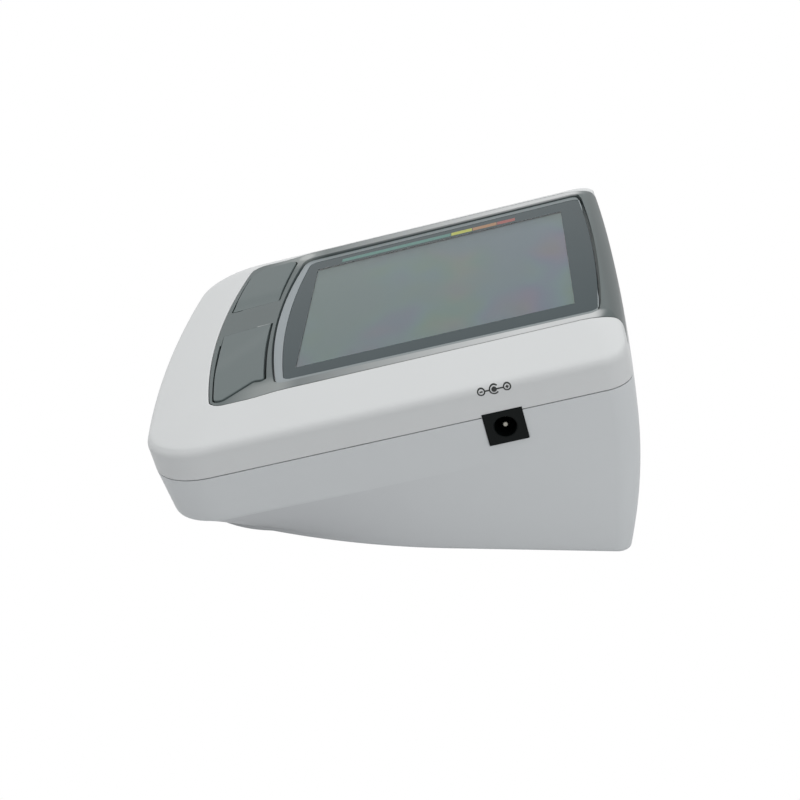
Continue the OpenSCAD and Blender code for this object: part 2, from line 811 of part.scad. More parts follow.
module display_bezel() {
    color([0.62, 0.65, 0.67]) on_tilt() difference() {
        plate(whole(bezel_half(0)), deck_top_w, lens_top_w + 0.1);
        plate(whole(lens_half(0.08)), deck_top_w - 1, console_top);
        box([-BIG, lens_back - 0.9, -BIG], [BIG, BIG, BIG]);
    }
}

module display_lens() {
    color([0.33, 0.37, 0.38]) on_tilt() plate(whole(lens_half(0)), deck_top_w, lens_top_w);
}

module key(outline, switch_x) {
    on_tilt() {
        plate(outline, key_w, key_top_w);
        post(switch_x, switch_v, stem_top_w + seat_gap, key_w + TINY, stem_r + 0.3);
    }
}

module start_button() {
    color([0.46, 0.49, 0.49]) key(start_outline(), start_switch_x);
}

module memory_button() {
    color([0.46, 0.49, 0.49]) key(memory_outline(), memory_switch_x);
}

// ---- Display ----

glass_hw = window_w / 2 + 4;
glass_front_v = -3;
glass_back_v = window_l + 3;
holder_t = 2;
holder_front_v = glass_front_v - holder_t - 0.2;
holder_back_v = glass_back_v + holder_t + 0.2;
strip_t = 2;
glass_w = deck_w - seat_gap - glass_t;
reflector_w = glass_w - seat_gap - reflector_t;
STRIP_V = [glass_front_v + 1, glass_back_v - 1 - strip_t];

module display_glass() {
    color([0.5, 0.55, 0.53]) on_tilt()
        box([-glass_hw, glass_front_v, glass_w], [glass_hw, glass_back_v, glass_w + glass_t]);
}

module display_reflector() {
    color([0.8, 0.83, 0.8]) on_tilt() box(
        [-glass_hw + 1, STRIP_V[0] + strip_t + 0.5, reflector_w],
        [glass_hw - 1, STRIP_V[1] - 0.5, reflector_w + reflector_t]
    );
}

module connector_strips() {
    color([0.85, 0.45, 0.5]) on_tilt() for (v = STRIP_V)
        box([-glass_hw + 3, v, board_top_w], [glass_hw - 3, v + strip_t, glass_w]);
}

module display_holder() {
    floor_w = reflector_w - seat_gap;
    hw = glass_hw + holder_t + 0.2;
    color([0.93, 0.93, 0.9]) on_tilt() difference() {
        box([-hw, holder_front_v, board_top_w], [hw, holder_back_v, deck_w - 0.05]);
        box(
            [-glass_hw - 0.2, glass_front_v - 0.2, glass_w - 0.05],
            [glass_hw + 0.2, glass_back_v + 0.2, deck_w + 1]
        );
        box(
            [-glass_hw + 0.8, STRIP_V[0] + strip_t + 0.3, floor_w],
            [glass_hw - 0.8, STRIP_V[1] - 0.3, deck_w + 1]
        );
        for (v = STRIP_V)
            box(
                [-glass_hw + 2.9, v - 0.1, board_top_w - 1],
                [glass_hw - 2.9, v + strip_t + 0.1, deck_w + 1]
            );
    }
}

// ---- Board ----

module main_board() {
    color([0.15, 0.4, 0.25]) difference() {
        on_tilt() difference() {
            plate(
                rounded(
                    [[-board_hw, board_front_v], [board_hw, board_front_v],
                     [board_hw, board_back_v], [-board_hw, board_back_v]],
                    [2, 2, 2, 2]
                ),
                board_w, board_top_w
            );
            for (p = BOARD_SCREWS)
                post(p[0], p[1], board_w - 1, board_top_w + 1, board_screw_r + 0.2);
        }
        // corners cut out round the rear case screws' posts
        for (p = SCREWS) translate([p[0], p[1], 0]) cylinder(h = BIG, r = boss_r + 0.5);
    }
}

module board_chips() {
    color([0.12, 0.12, 0.13]) on_tilt() {
        box([-8, 40, board_w - 1.6], [6, 54, board_w]);
        box([14, 44, board_w - 1.5], [20, 49, board_w]);
        box([24, 60, board_w - 2.3], [30, 67, board_w]);
    }
}

module board_capacitors() {
    color([0.2, 0.22, 0.35]) on_tilt() {
        post(14, 22, board_w - 9, board_w, 4);
        post(27, 40, board_w - 7, board_w, 3.2);
        post(34, 50, board_w - 7, board_w, 3.2);
    }
}

module buzzer() {
    color([0.1, 0.1, 0.11]) on_tilt() difference() {
        post(8, -12, board_w - 5, board_w, 6);
        post(8, -12, board_w - 6, board_w - 3, 1.2);
    }
}

module key_switches() {
    color([0.75, 0.76, 0.77]) on_tilt() for (x = [start_switch_x, memory_switch_x])
        difference() {
            box(
                [x - switch_w / 2, switch_v - switch_w / 2, board_top_w],
                [x + switch_w / 2, switch_v + switch_w / 2, switch_top_w]
            );
            post(x, switch_v, board_top_w + 0.6, switch_top_w + 1, stem_r + 0.1);
        }
}

module stem(x) {
    on_tilt() post(x, switch_v, board_top_w + 0.7 + stem_travel, stem_top_w, stem_r);
}

module start_stem() {
    color([0.1, 0.1, 0.1]) stem(start_switch_x);
}

module memory_stem() {
    color([0.1, 0.1, 0.1]) stem(memory_switch_x);
}

// ---- Air line ----

// A pin along a direction of the face frame's v or x axis, with an optional bore
module rod(p, axis, l, r, bore = 0) {
    translate(p) rotate(axis == "v" ? [-90, 0, 0] : [0, 90, 0]) difference() {
        cylinder(h = l, r = r);
        if (bore > 0) translate([0, 0, -1]) cylinder(h = l + 2, r = bore);
    }
}

nozzle_r = tube_bore_r - 0.05;
nozzle_bore_r = 0.7;
sensor_v = 17;

module pressure_sensor() {
    color([0.15, 0.15, 0.17]) on_tilt() {
        box([manifold_x - 5, sensor_v, air_w - 3], [manifold_x + 5, sensor_v + 10, board_w]);
        rod([manifold_x, sensor_v - nozzle_l, air_w], "v", nozzle_l + TINY, nozzle_r, nozzle_bore_r);
    }
}

module air_manifold() {
    color([0.85, 0.86, 0.84]) on_tilt() difference() {
        union() {
            rod([manifold_x - manifold_l / 2, manifold_v, air_w], "x", manifold_l, 3);
            rod([manifold_x - manifold_l / 2 - nozzle_l, manifold_v, air_w], "x",
                manifold_l + 2 * nozzle_l, nozzle_r);
            rod([manifold_x, manifold_v - 3 - nozzle_l, air_w], "v", 6 + 2 * nozzle_l, nozzle_r);
        }
        rod([manifold_x - manifold_l / 2 - nozzle_l - 1, manifold_v, air_w], "x",
            manifold_l + 2 * nozzle_l + 2, nozzle_bore_r);
        rod([manifold_x, manifold_v - 4 - nozzle_l, air_w], "v", 8 + 2 * nozzle_l, nozzle_bore_r);
    }
}

module sensor_tube() {
    start = manifold_v + 3 + 0.1;
    color([0.8, 0.82, 0.8]) on_tilt()
        rod([manifold_x, start, air_w], "v", sensor_v - 0.1 - start, tube_r, tube_bore_r);
}

module valve_tube() {
    start = valve_v + valve_w / 2 + 0.1;
    color([0.8, 0.82, 0.8]) on_tilt()
        rod([manifold_x, start, air_w], "v", manifold_v - 3 - 0.1 - start, tube_r, tube_bore_r);
}

module socket_tube() {
    start = socket_inner_x + 0.1;
    color([0.8, 0.82, 0.8]) on_tilt() rod(
        [start, manifold_v, air_w], "x",
        manifold_x - manifold_l / 2 - 0.1 - start, tube_r, tube_bore_r
    );
}

// Rings round a path that runs along +X from one depth, bends and runs on along +Y to another
function bent_rings(from_x, to_y, r) =
    let (ring = function (p, turn) [for (k = [0 : 23]) let (a = 15 * k)
        p + r * [-sin(turn) * cos(a), cos(turn) * cos(a), sin(a)]])
    concat(
        [ring([from_x, air_y, air_z], 0)],
        [for (turn = [0 : 10 : 90]) ring(
            [pump_x - bend_r + bend_r * sin(turn), air_y + bend_r - bend_r * cos(turn), air_z],
            turn
        )],
        [ring([pump_x, to_y, air_z], 90)]
    );

module pump_tube() {
    start = manifold_x + manifold_l / 2 + 0.1;
    color([0.8, 0.82, 0.8]) difference() {
        skin(bent_rings(start, cover_y - 0.1, tube_r));
        skin(bent_rings(start - 1, cover_y + 0.9, tube_bore_r));
    }
}

module air_socket() {
    color([0.8, 0.81, 0.82]) on_tilt() difference() {
        union() {
            rod([socket_x, manifold_v, air_w], "x", wall + 1.2, socket_flange_r);
            rod([socket_x, manifold_v, air_w], "x", socket_inner_x - socket_x, socket_body_r);
            rod([socket_x, manifold_v, air_w], "x", socket_inner_x - socket_x + nozzle_l, nozzle_r);
        }
        rod([socket_x - 1, manifold_v, air_w], "x", socket_depth + 1, socket_r);
        rod([socket_x, manifold_v, air_w], "x", socket_inner_x - socket_x + nozzle_l + 1,
            nozzle_bore_r);
    }
}

module power_inlet() {
    color([0.1, 0.11, 0.11]) on_tilt() difference() {
        box(
            [inlet_x - inlet_l, inlet_v - inlet_w / 2, inlet_w_mid - inlet_h / 2],
            [inlet_x, inlet_v + inlet_w / 2, inlet_w_mid + inlet_h / 2]
        );
        rod([inlet_x - inlet_depth, inlet_v, inlet_w_mid], "x", inlet_depth + 1, inlet_hole_r);
        rod([inlet_x - inlet_l - 1, inlet_v, inlet_w_mid], "x", inlet_l, pin_root_r + 0.02);
    }
}

pin_root_r = inlet_pin_r - 0.2;
module inlet_pin() {
    color([0.8, 0.8, 0.78]) on_tilt() {
        rod([inlet_x - inlet_depth, inlet_v, inlet_w_mid], "x", inlet_depth - 1, inlet_pin_r);
        rod([inlet_x - inlet_l, inlet_v, inlet_w_mid], "x", inlet_l - inlet_depth + TINY, pin_root_r);
    }
}

module valve_body() {
    low = board_w - valve_h;
    color([0.55, 0.56, 0.58]) on_tilt() difference() {
        union() {
            box(
                [valve_x - valve_w / 2, valve_v - valve_w / 2, low],
                [valve_x + valve_w / 2, valve_v + valve_w / 2, board_w]
            );
            rod([valve_x, valve_v + valve_w / 2 - TINY, air_w], "v", nozzle_l, nozzle_r);
        }
        rod([valve_x, valve_v, air_w], "v", valve_w + nozzle_l, nozzle_bore_r);
        post(valve_x, valve_v, low - 1, board_w - 3, plunger_r + 0.05);
    }
}

module valve_plunger() {
    low = board_w - valve_h;
    color([0.7, 0.7, 0.72]) on_tilt() {
        post(valve_x, valve_v, low - 1.5, board_w - 3.2 - plunger_travel, plunger_r);
        post(valve_x, valve_v, low - 2.7, low - 1.5 + TINY, plunger_r + 1.3);
    }
}

// ---- Pump ----

// Turns a piece built along Z so that it lies along the pump's axis, from y backwards
module on_pump(y) {
    translate([pump_x, y, pump_z]) rotate([-90, 0, 0]) children();
}

module pump_motor() {
    color([0.7, 0.71, 0.72]) on_pump(pump_y) difference() {
        union() {
            cylinder(h = motor_l, r = motor_r);
            translate([0, 0, motor_l - TINY]) cylinder(h = 1.6, r = 4);
        }
        translate([0, 0, -1]) cylinder(h = 13, r = shaft_r + 0.05);
    }
}

module motor_shaft() {
    color([0.82, 0.82, 0.84]) on_pump(pump_y - 8) cylinder(h = 19, r = shaft_r);
}

module pump_crank() {
    color([0.92, 0.92, 0.88]) on_pump(pump_y - 1.5 - crank_l) {
        difference() {
            cylinder(h = crank_l, r = crank_r);
            translate([0, 0, -1]) cylinder(h = crank_l + 2, r = shaft_r);
        }
        translate([crank_r - 2.2, 0, -3]) cylinder(h = 3 + TINY, r = 1.2);
    }
}

head_room_l = crank_l + 6;
module pump_head() {
    color([0.9, 0.9, 0.88]) on_pump(head_y) difference() {
        cylinder(h = head_l, r = head_r);
        translate([0, 0, head_l - head_room_l]) cylinder(h = head_room_l + 1, r = crank_r + crank_room);
    }
}

diaphragm_t = 1.2;
module pump_diaphragm() {
    color([0.2, 0.2, 0.21]) on_pump(head_y - diaphragm_t) cylinder(h = diaphragm_t, r = head_r - 0.5);
}

module pump_cover() {
    lift = air_z - pump_z;
    color([0.88, 0.88, 0.86]) on_pump(cover_y) difference() {
        union() {
            cylinder(h = cover_l - diaphragm_t, r = head_r);
            translate([0, -lift, -nozzle_l]) cylinder(h = nozzle_l + TINY, r = nozzle_r);
        }
        translate([0, -lift, -nozzle_l - 1]) cylinder(h = nozzle_l + cover_l, r = nozzle_bore_r);
    }
}

module pump_cradle() {
    color([0.15, 0.15, 0.16]) on_pump(pump_y + 4) difference() {
        cylinder(h = motor_l - 8, r = motor_r + cradle_t);
        translate([0, 0, -1]) cylinder(h = motor_l, r = motor_r + 0.02);
    }
}

// ---- Cells and door ----

lead_x = 1.5 * cell_pitch;
function cell_x(i) = bay_x + (i - 1.5) * cell_pitch;
// Cells lie head to tail: the even ones have their nub to the back
function nub_back(i) = i % 2 == 0;

module cell(i) {
    from = bay_front_y + plate_t + 0.15 + (nub_back(i) ? spring_l : 0);
    body_l = cell_l - 1.1;
    color([0.25, 0.27, 0.3]) translate([cell_x(i), from, cell_z]) rotate([-90, 0, 0]) {
        translate([0, 0, nub_back(i) ? 0 : 1.1]) cylinder(h = body_l, r = cell_r);
        translate([0, 0, nub_back(i) ? body_l - TINY : 0]) cylinder(h = 1.1 + TINY, r = 2.75);
    }
}

module battery_1() {
    cell(0);
}

module battery_2() {
    cell(1);
}

module battery_3() {
    cell(2);
}

module battery_4() {
    cell(3);
}

module battery_springs() {
    color([0.8, 0.81, 0.82]) for (i = [0 : 3])
        translate([cell_x(i), nub_back(i) ? bay_front_y + plate_t : bay_back_y - plate_t, cell_z])
            rotate([nub_back(i) ? -90 : 90, 0, 0]) difference() {
                cylinder(h = spring_l, r1 = 4.5, r2 = 3);
                translate([0, 0, -1]) cylinder(h = spring_l + 2, r = 2);
            }
}

module battery_plates() {
    color([0.82, 0.83, 0.84]) {
        for (i = [0 : 3]) for (y = [bay_front_y, bay_back_y - plate_t])
            box([cell_x(i) - 5, y, cell_z - 5], [cell_x(i) + 5, y + plate_t, cell_z + 5]);
        for (s = [-1, 1])
            box(
                [bay_x + s * lead_x - 1.5, bay_front_y, cell_z + 5 - TINY],
                [bay_x + s * lead_x + 1.5, bay_front_y + plate_t, bay_top_z + bay_wall + 2]
            );
    }
}

module battery_door() {
    color([0.76, 0.77, 0.78]) translate([bay_x, 0, 0]) difference() {
        union() {
            box([-door_hw, door_front_y, door_z], [door_hw, door_back_y, door_top_z]);
            box(
                [-door_hw - tongue_w, door_front_y, tongue_z],
                [door_hw + tongue_w, door_back_y - 6, door_top_z]
            );
        }
        // finger grip: a row of shallow grooves
        for (k = [0 : 4])
            box(
                [-9, door_front_y + 6 + 2.2 * k, -1],
                [9, door_front_y + 7.1 + 2.2 * k, door_z + 0.5]
            );
    }
}

// ---- Fasteners, feet, label, leads ----

module case_screws() {
    color([0.5, 0.5, 0.52]) for (p = SCREWS) translate([p[0], p[1], screw_seat_z(p[1])]) {
        translate([0, 0, -2]) difference() {
            cylinder(h = 2, r = screw_head_r);
            translate([0, 0, -1]) cylinder(h = 2, r = 1.1, $fn = 6);
        }
        translate([0, 0, -TINY])
            cylinder(h = seam_z(p[1]) + screw_bite - 1 - screw_seat_z(p[1]), r = case_screw_r);
    }
}

module board_screws() {
    color([0.6, 0.6, 0.62]) on_tilt() for (p = BOARD_SCREWS) {
        post(p[0], p[1], board_w - 1.4, board_w, 2);
        post(p[0], p[1], board_w - TINY, deck_w - 1.5, board_screw_r);
    }
}

module foot(i) {
    color([0.2, 0.2, 0.21]) translate([foot_places[i][0], foot_places[i][1], 0])
        cylinder(h = foot_proud + foot_seat, r = foot_r);
}

module foot_front_left() {
    foot(0);
}

module foot_front_right() {
    foot(1);
}

module foot_rear_left() {
    foot(2);
}

module foot_rear_right() {
    foot(3);
}

module rating_label() {
    back = door_front_y - 13.75;
    color([0.9, 0.9, 0.88]) box(
        [-label_w / 2, back - label_l, foot_proud - 0.15],
        [label_w / 2, back, foot_proud]
    );
}

motor_end_y = pump_y + motor_l;
module motor_leads() {
    y = motor_end_y - 3;
    color([0.7, 0.1, 0.1]) for (s = [-1, 1]) {
        z = pump_z + sqrt(pow(motor_r, 2) - 9) + 0.1;
        x = pump_x + s * 3;
        translate([x, y, z]) cylinder(h = up(face_v(y, board_w), board_w) - z - 0.3, r = 0.6);
    }
}

module battery_leads() {
    y = bay_front_y + plate_t / 2;
    z = bay_top_z + bay_wall + 2;
    color([0.1, 0.1, 0.1]) for (s = [-1, 1])
        translate([bay_x + s * lead_x, y, z]) cylinder(h = up(face_v(y, board_w), board_w) - z - 0.3, r = 0.6);
}

upper_case();
lower_case();
console_panel();
display_bezel();
display_lens();
start_button();
memory_button();
display_glass();
display_reflector();
display_holder();
connector_strips();
main_board();
board_chips();
board_capacitors();
buzzer();
key_switches();
start_stem();
memory_stem();
pressure_sensor();
air_manifold();
pump_tube();
valve_tube();
sensor_tube();
socket_tube();
air_socket();
power_inlet();
inlet_pin();
valve_body();
valve_plunger();
pump_motor();
motor_shaft();
pump_crank();
pump_head();
pump_diaphragm();
pump_cover();
pump_cradle();
battery_1();
battery_2();
battery_3();
battery_4();
battery_springs();
battery_plates();
battery_door();
case_screws();
board_screws();
foot_front_left();
foot_front_right();
foot_rear_left();
foot_rear_right();
rating_label();
motor_leads();
battery_leads();
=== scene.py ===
"""Looks of a desktop blood pressure monitor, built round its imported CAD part."""

import math

import bmesh
import bpy
from mathutils import Matrix, Vector


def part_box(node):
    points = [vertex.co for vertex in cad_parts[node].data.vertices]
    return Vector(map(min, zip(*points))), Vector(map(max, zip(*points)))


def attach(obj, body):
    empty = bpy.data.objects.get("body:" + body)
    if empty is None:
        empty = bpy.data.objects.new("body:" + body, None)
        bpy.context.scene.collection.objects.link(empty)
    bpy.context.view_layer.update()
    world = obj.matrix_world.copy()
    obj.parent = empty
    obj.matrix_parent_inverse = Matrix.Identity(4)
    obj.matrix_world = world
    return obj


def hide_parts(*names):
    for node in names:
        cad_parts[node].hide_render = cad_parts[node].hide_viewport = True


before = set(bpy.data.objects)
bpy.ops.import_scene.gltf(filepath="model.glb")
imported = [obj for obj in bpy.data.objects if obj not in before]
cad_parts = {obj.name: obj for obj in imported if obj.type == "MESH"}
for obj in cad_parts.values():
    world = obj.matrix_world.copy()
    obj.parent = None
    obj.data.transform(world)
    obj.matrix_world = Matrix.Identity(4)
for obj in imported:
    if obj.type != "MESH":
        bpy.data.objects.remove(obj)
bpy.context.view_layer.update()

bl_info = {
    "name": "Blood Pressure Monitor Looks",
    "version": (1, 0, 0),
    "blender": (4, 5, 0),
    "location": "View3D > Sidebar > Monitor",
    "description": "Builds the visual pieces of a desktop blood pressure monitor",
    "category": "Object",
}

MM = 0.001
SIN = math.sin(math.radians(15))
COS = math.cos(math.radians(15))

# ---- Sizes shared with the CAD part, in millimetres ----

CASE_HW = 66.0
FLANK_HW = 65.6
FRONT_REACH = 46.5
SEAM_W = -12.6
CREASE_W = -26.7
SHOULDER_W = -4.8
SHOULDER_R = 5.0
FLANK_LOW_W = -8.2
TOP_W = 1.0
RIM = 0.8
REAR_EDGE_R = 5.0
BULGE_R = 150.0
BULGE_Z = 18.8
BASE_Z = 0.8
FACE_Z = 41.8
WALL = 2.2
DECK_TOP_W = -1.6
DECK_W = -3.5
BOARD_TOP_W = -10.3
CONSOLE_FRONT_HW = 50.4
CONSOLE_REAR_HW = 49.2
CONSOLE_REACH = 27.9
LENS_TOP_W = 0.15
LENS_FRONT_HW = 42.7
LENS_REAR_HW = 43.6
LENS_BACK = 87.2
WINDOW = (36.0, 79.7)
FRONT_BOW = 420.0
CASE_CORNER_R = 19.0
REAR_BOW = 1200.0
REAR_CORNER_R = 7.0
CONSOLE_BOW = 263.0
CONSOLE_CORNER_R = 5.0
LIP_W = -9.0
LIP_DEPTH = 2.4
LENS_FRONT_V = -6.1
LENS_BOW = 276.0
LENS_REAR_BOW = 600.0
LENS_CORNER_R = 2.5
BEZEL_WIDTH = 2.5
BEZEL_FRONT_V = -9.1
BEZEL_BOW = 226.0
BEZEL_CORNER_R = 3.5
WINDOW_ROOM = (WINDOW[0] + 3.5, -1.0, WINDOW[1] + 1.5)
KEY_BOW = 300.0
KEY_FRONT_V = 1.75 - CONSOLE_REACH
KEY_BACK_V = -11.4
BASE_FRONT_HW = 57.0
BASE_REAR_HW = 64.5
BASE_REACH = 9.9
BASE_CORNER_R = 26.0
BASE_EDGE = 1.5
INNER_FLOOR = BASE_Z + WALL - 0.1
BAY_HW = 29.9
BAY_LENGTH = 54.5
BAY_WALL = 1.6
BAY_TOP = INNER_FLOOR + 14.75
MOTOR_X = 47.0
MOTOR_Z = 16.4
CRADLE_R = 13.42
STUD_X = 51.0
SCREW_DROP = 14.0
FOOT_R = 5.0
INLET = (55.7, -16.65)
INLET_SIZE = (10.6, 9.3)
SOCKET = (2.8, -18.7)
FEET = ("foot_front_left", "foot_front_right", "foot_rear_left", "foot_rear_right")

# ---- Sizes of the looks alone ----

# The shoulder's edge lies a little higher and is crisper than in the CAD part
EDGE_W = -4.2
EDGE_R = 2.8
# How far the top of the face sinks round the keys, from where and over what length
DIP = 0.55
DIP_FROM = -1.5
DIP_LENGTH = 11.5
BASE_REAR_R = 4.5
# Points along the front, its corner, the side, the rear corner and the back of a half outline
OUTLINE_COUNTS = (14, 14, 44, 10, 10)
# Where a highlight is painted on the console's far front corner, in the face's frame
CORNER_SHINE = (-48.0, -4.6, 0.9)

SLOPE_ANGLE = math.atan2(TOP_W - EDGE_W, FLANK_HW - CONSOLE_FRONT_HW - RIM)
FRONT_ANGLE = math.atan2(TOP_W - EDGE_W, FRONT_REACH - CONSOLE_REACH - RIM)
CAD_FRONT_ANGLE = math.atan2(TOP_W - SHOULDER_W, FRONT_REACH - CONSOLE_REACH - RIM)
REAR_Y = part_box("lower_case")[1].y / MM
FACE_Y = (
    -REAR_Y + SHOULDER_R - (SHOULDER_R - FRONT_REACH) * COS
    + (SHOULDER_W - SHOULDER_R * math.tan((math.pi / 2 - CAD_FRONT_ANGLE) / 2)) * SIN
)


def face(x, v, w):
    """A point of the tilted face's frame, in metres in the row frame."""
    return Vector((x, FACE_Y + v * COS - w * SIN, FACE_Z + v * SIN + w * COS)) * MM


def face_v(y, w):
    return (y - FACE_Y + w * SIN) / COS


def back_y(z):
    return REAR_Y - BULGE_R + math.sqrt(BULGE_R ** 2 - (z - BULGE_Z) ** 2)


def back_v(w):
    a = FACE_Y - w * SIN - REAR_Y + BULGE_R
    b = FACE_Z + w * COS - BULGE_Z
    h = a * COS + b * SIN
    return -h + math.sqrt(h * h - a * a - b * b + BULGE_R ** 2)


def mix(a, b, t):
    return a + (b - a) * t


def smooth(t):
    t = max(0.0, min(1.0, t))
    return t * t * (3 - 2 * t)


def half_outline(front_hw, rear_hw, front_q, rear_q, front_bow, front_r, rear_bow, rear_r, bow_y=None):
    """Right half of a plan outline, from the front's middle to the back's middle."""
    cx = front_hw - front_r
    cq = front_q + front_bow - math.sqrt((front_bow - front_r) ** 2 - cx * cx)
    turn = math.asin(cx / (front_bow - front_r))
    dx = rear_hw - rear_r
    dq = rear_q - rear_bow + math.sqrt((rear_bow - rear_r) ** 2 - dx * dx)
    back = math.asin(dx / (rear_bow - rear_r))
    along_front, front_corner, side, rear_corner, along_rear = OUTLINE_COUNTS
    points = []
    for i in range(along_front):
        a = turn * i / along_front
        points.append((front_bow * math.sin(a), front_q + front_bow * (1 - math.cos(a))))
    for i in range(front_corner):
        a = turn + (math.pi / 2 - turn) * i / front_corner
        points.append((cx + front_r * math.sin(a), cq - front_r * math.cos(a)))
    for i in range(side):
        t = i / side
        q = mix(cq, dq, t)
        if bow_y is None:
            x = mix(front_hw, rear_hw, t)
        else:
            x = rear_hw - (rear_hw - front_hw) * max(0, (bow_y - q) / (bow_y - cq)) ** 2
        points.append((x, q))
    for i in range(rear_corner):
        a = math.pi / 2 - (math.pi / 2 - back) * i / rear_corner
        points.append((dx + rear_r * math.sin(a), dq + rear_r * math.cos(a)))
    for i in range(along_rear + 1):
        a = back * (1 - i / along_rear)
        points.append((rear_bow * math.sin(a), rear_q - rear_bow * (1 - math.cos(a))))
    return points


def whole(half):
    """The whole loop of a right half, run round from the front's middle."""
    return list(half) + [(-p[0],) + tuple(p[1:]) for p in half[-2:0:-1]]


def wall_at(w, reach, angle):
    """How far out the case's wall lies at a level, below, on and above the rounded shoulder."""
    turn = EDGE_R * math.tan((math.pi / 2 - angle) / 2)
    low = EDGE_W - turn
    if w <= low:
        return reach
    if w < low + EDGE_R * math.cos(angle):
        return reach - EDGE_R + math.sqrt(EDGE_R ** 2 - (w - low) ** 2)
    return reach - (w - EDGE_W) / math.tan(angle)


def rise(w):
    """0 at the shoulder's edge, 1 at the top of the face."""
    return max(0.0, min(1.0, (w - EDGE_W) / (TOP_W - EDGE_W)))


def upper_hw(w):
    """Half the upper case's width at a level."""
    if w <= FLANK_LOW_W:
        return mix(CASE_HW, FLANK_HW, (w - SEAM_W) / (FLANK_LOW_W - SEAM_W))
    return wall_at(w, FLANK_HW, SLOPE_ANGLE)


def upper_half(w, inset=0.0):
    """The upper case's half outline at a level, set in by inset."""
    start = TOP_W - REAR_EDGE_R
    retreat = 0
    if w > start:
        retreat = REAR_EDGE_R - math.sqrt(max(0, REAR_EDGE_R ** 2 - (w - start) ** 2))
    return half_outline(
        upper_hw(w) - inset,
        upper_hw(w) - inset - (CONSOLE_FRONT_HW - CONSOLE_REAR_HW) * rise(w),
        -wall_at(w, FRONT_REACH, FRONT_ANGLE) + inset,
        back_v(w) - retreat - inset,
        mix(FRONT_BOW, CONSOLE_BOW + RIM, rise(w)) - inset,
        mix(CASE_CORNER_R, CONSOLE_CORNER_R + RIM, rise(w)) - inset,
        REAR_BOW - inset,
        REAR_CORNER_R - inset,
    )


def tray_half(w, inset, edge=0.0):
    """The lower case's half outline between seam and crease, set in by inset, less a rounded edge."""
    t = (w - SEAM_W) / (CREASE_W - SEAM_W)
    hw = CASE_HW - 0.5 * t - inset - edge
    return half_outline(hw, hw, -FRONT_REACH + 1.1 * t + inset + edge, back_v(w) - inset, FRONT_BOW - inset,
                        CASE_CORNER_R - inset, REAR_BOW - inset, REAR_CORNER_R - inset)


def base_half(inset):
    """The base's half outline, in plan, set in by inset."""
    return half_outline(BASE_FRONT_HW - inset, BASE_REAR_HW - inset, BASE_REACH - REAR_Y + inset,
                        back_y(BASE_Z + BASE_EDGE) - inset, FRONT_BOW - inset, BASE_CORNER_R - inset,
                        REAR_BOW - inset, BASE_REAR_R - inset, bow_y=17)


def console_half(gap):
    return half_outline(CONSOLE_FRONT_HW + gap, CONSOLE_REAR_HW + gap, -CONSOLE_REACH - gap, LENS_BACK + 30,
                        CONSOLE_BOW + gap, CONSOLE_CORNER_R + gap, REAR_BOW, 2)


def lens_half(gap):
    return half_outline(LENS_FRONT_HW + gap, LENS_REAR_HW + gap, LENS_FRONT_V - gap, LENS_BACK + gap,
                        LENS_BOW + gap, LENS_CORNER_R + gap, LENS_REAR_BOW + gap, LENS_CORNER_R + gap)


def bezel_half(gap):
    return half_outline(LENS_FRONT_HW + BEZEL_WIDTH + gap, LENS_REAR_HW + BEZEL_WIDTH + gap,
                        BEZEL_FRONT_V - gap, LENS_BACK + gap, BEZEL_BOW, BEZEL_CORNER_R + gap,
                        LENS_REAR_BOW + gap, LENS_CORNER_R + gap)


def key_front(x):
    return KEY_FRONT_V + KEY_BOW - math.sqrt(KEY_BOW ** 2 - x * x)


def key_back(x):
    return KEY_BACK_V + KEY_BOW - math.sqrt(KEY_BOW ** 2 - x * x)


START_PIVOT, START_TIP = 0.5, CONSOLE_FRONT_HW - 0.4
MEMORY_PIVOT, MEMORY_TIP = -16.5, 3.3 - CONSOLE_FRONT_HW


def rounded(points, radii, steps=8):
    """A polygon with each corner rounded by its own radius."""
    out = []
    n = len(points)
    for i, r in enumerate(radii):
        p = Vector(points[i])
        if r == 0:
            out.append(tuple(p))
            continue
        ua = (Vector(points[i - 1]) - p).normalized()
        ub = (Vector(points[(i + 1) % n]) - p).normalized()
        half = math.acos(max(-1, min(1, ua.dot(ub)))) / 2
        centre = p + (ua + ub).normalized() * r / math.sin(half)
        a = p + ua * r / math.tan(half) - centre
        b = p + ub * r / math.tan(half) - centre
        arc = math.pi - 2 * half
        for k in range(steps + 1):
            t = k / steps
            q = (a * math.sin(arc * (1 - t)) + b * math.sin(arc * t)) / math.sin(arc)
            out.append(tuple(centre + q))
    return out


def start_outline():
    """The start key seen from above the face, with its cut corner."""
    x = lambda t: mix(START_PIVOT, START_TIP, t)
    points = [(START_PIVOT + 1.5, key_front(START_PIVOT + 1.5))]
    points += [(x(t), key_front(x(t))) for t in (0.14, 0.27, 0.4, 0.52, 0.64, 0.76, 0.88)]
    points += [(START_TIP, key_front(START_TIP)), (START_TIP - 10.2, -11.9),
               (START_TIP - 9.2, key_back(START_TIP - 9.2))]
    points += [(x(t), key_back(x(t))) for t in (0.7, 0.56, 0.43, 0.31, 0.15)]
    points += [(START_PIVOT, key_back(START_PIVOT))]
    return rounded(points, [0.3] + [0] * 7 + [2, 1.5, 0.7] + [0] * 5 + [0.3])


def memory_outline():
    """The memory key seen from above the face."""
    x = lambda t: mix(MEMORY_PIVOT, MEMORY_TIP, t)
    points = [(MEMORY_PIVOT + 1, key_front(MEMORY_PIVOT + 1)), (MEMORY_PIVOT, key_back(MEMORY_PIVOT))]
    points += [(x(t), key_back(x(t))) for t in (0.16, 0.31, 0.48, 0.64, 0.8)]
    points += [(MEMORY_TIP, key_back(MEMORY_TIP)), (MEMORY_TIP, key_front(MEMORY_TIP))]
    points += [(x(t), key_front(x(t))) for t in (0.57, 0.42, 0.25, 0.1)]
    return rounded(points, [0.3, 0.3] + [0] * 5 + [2.5, 9] + [0] * 4)


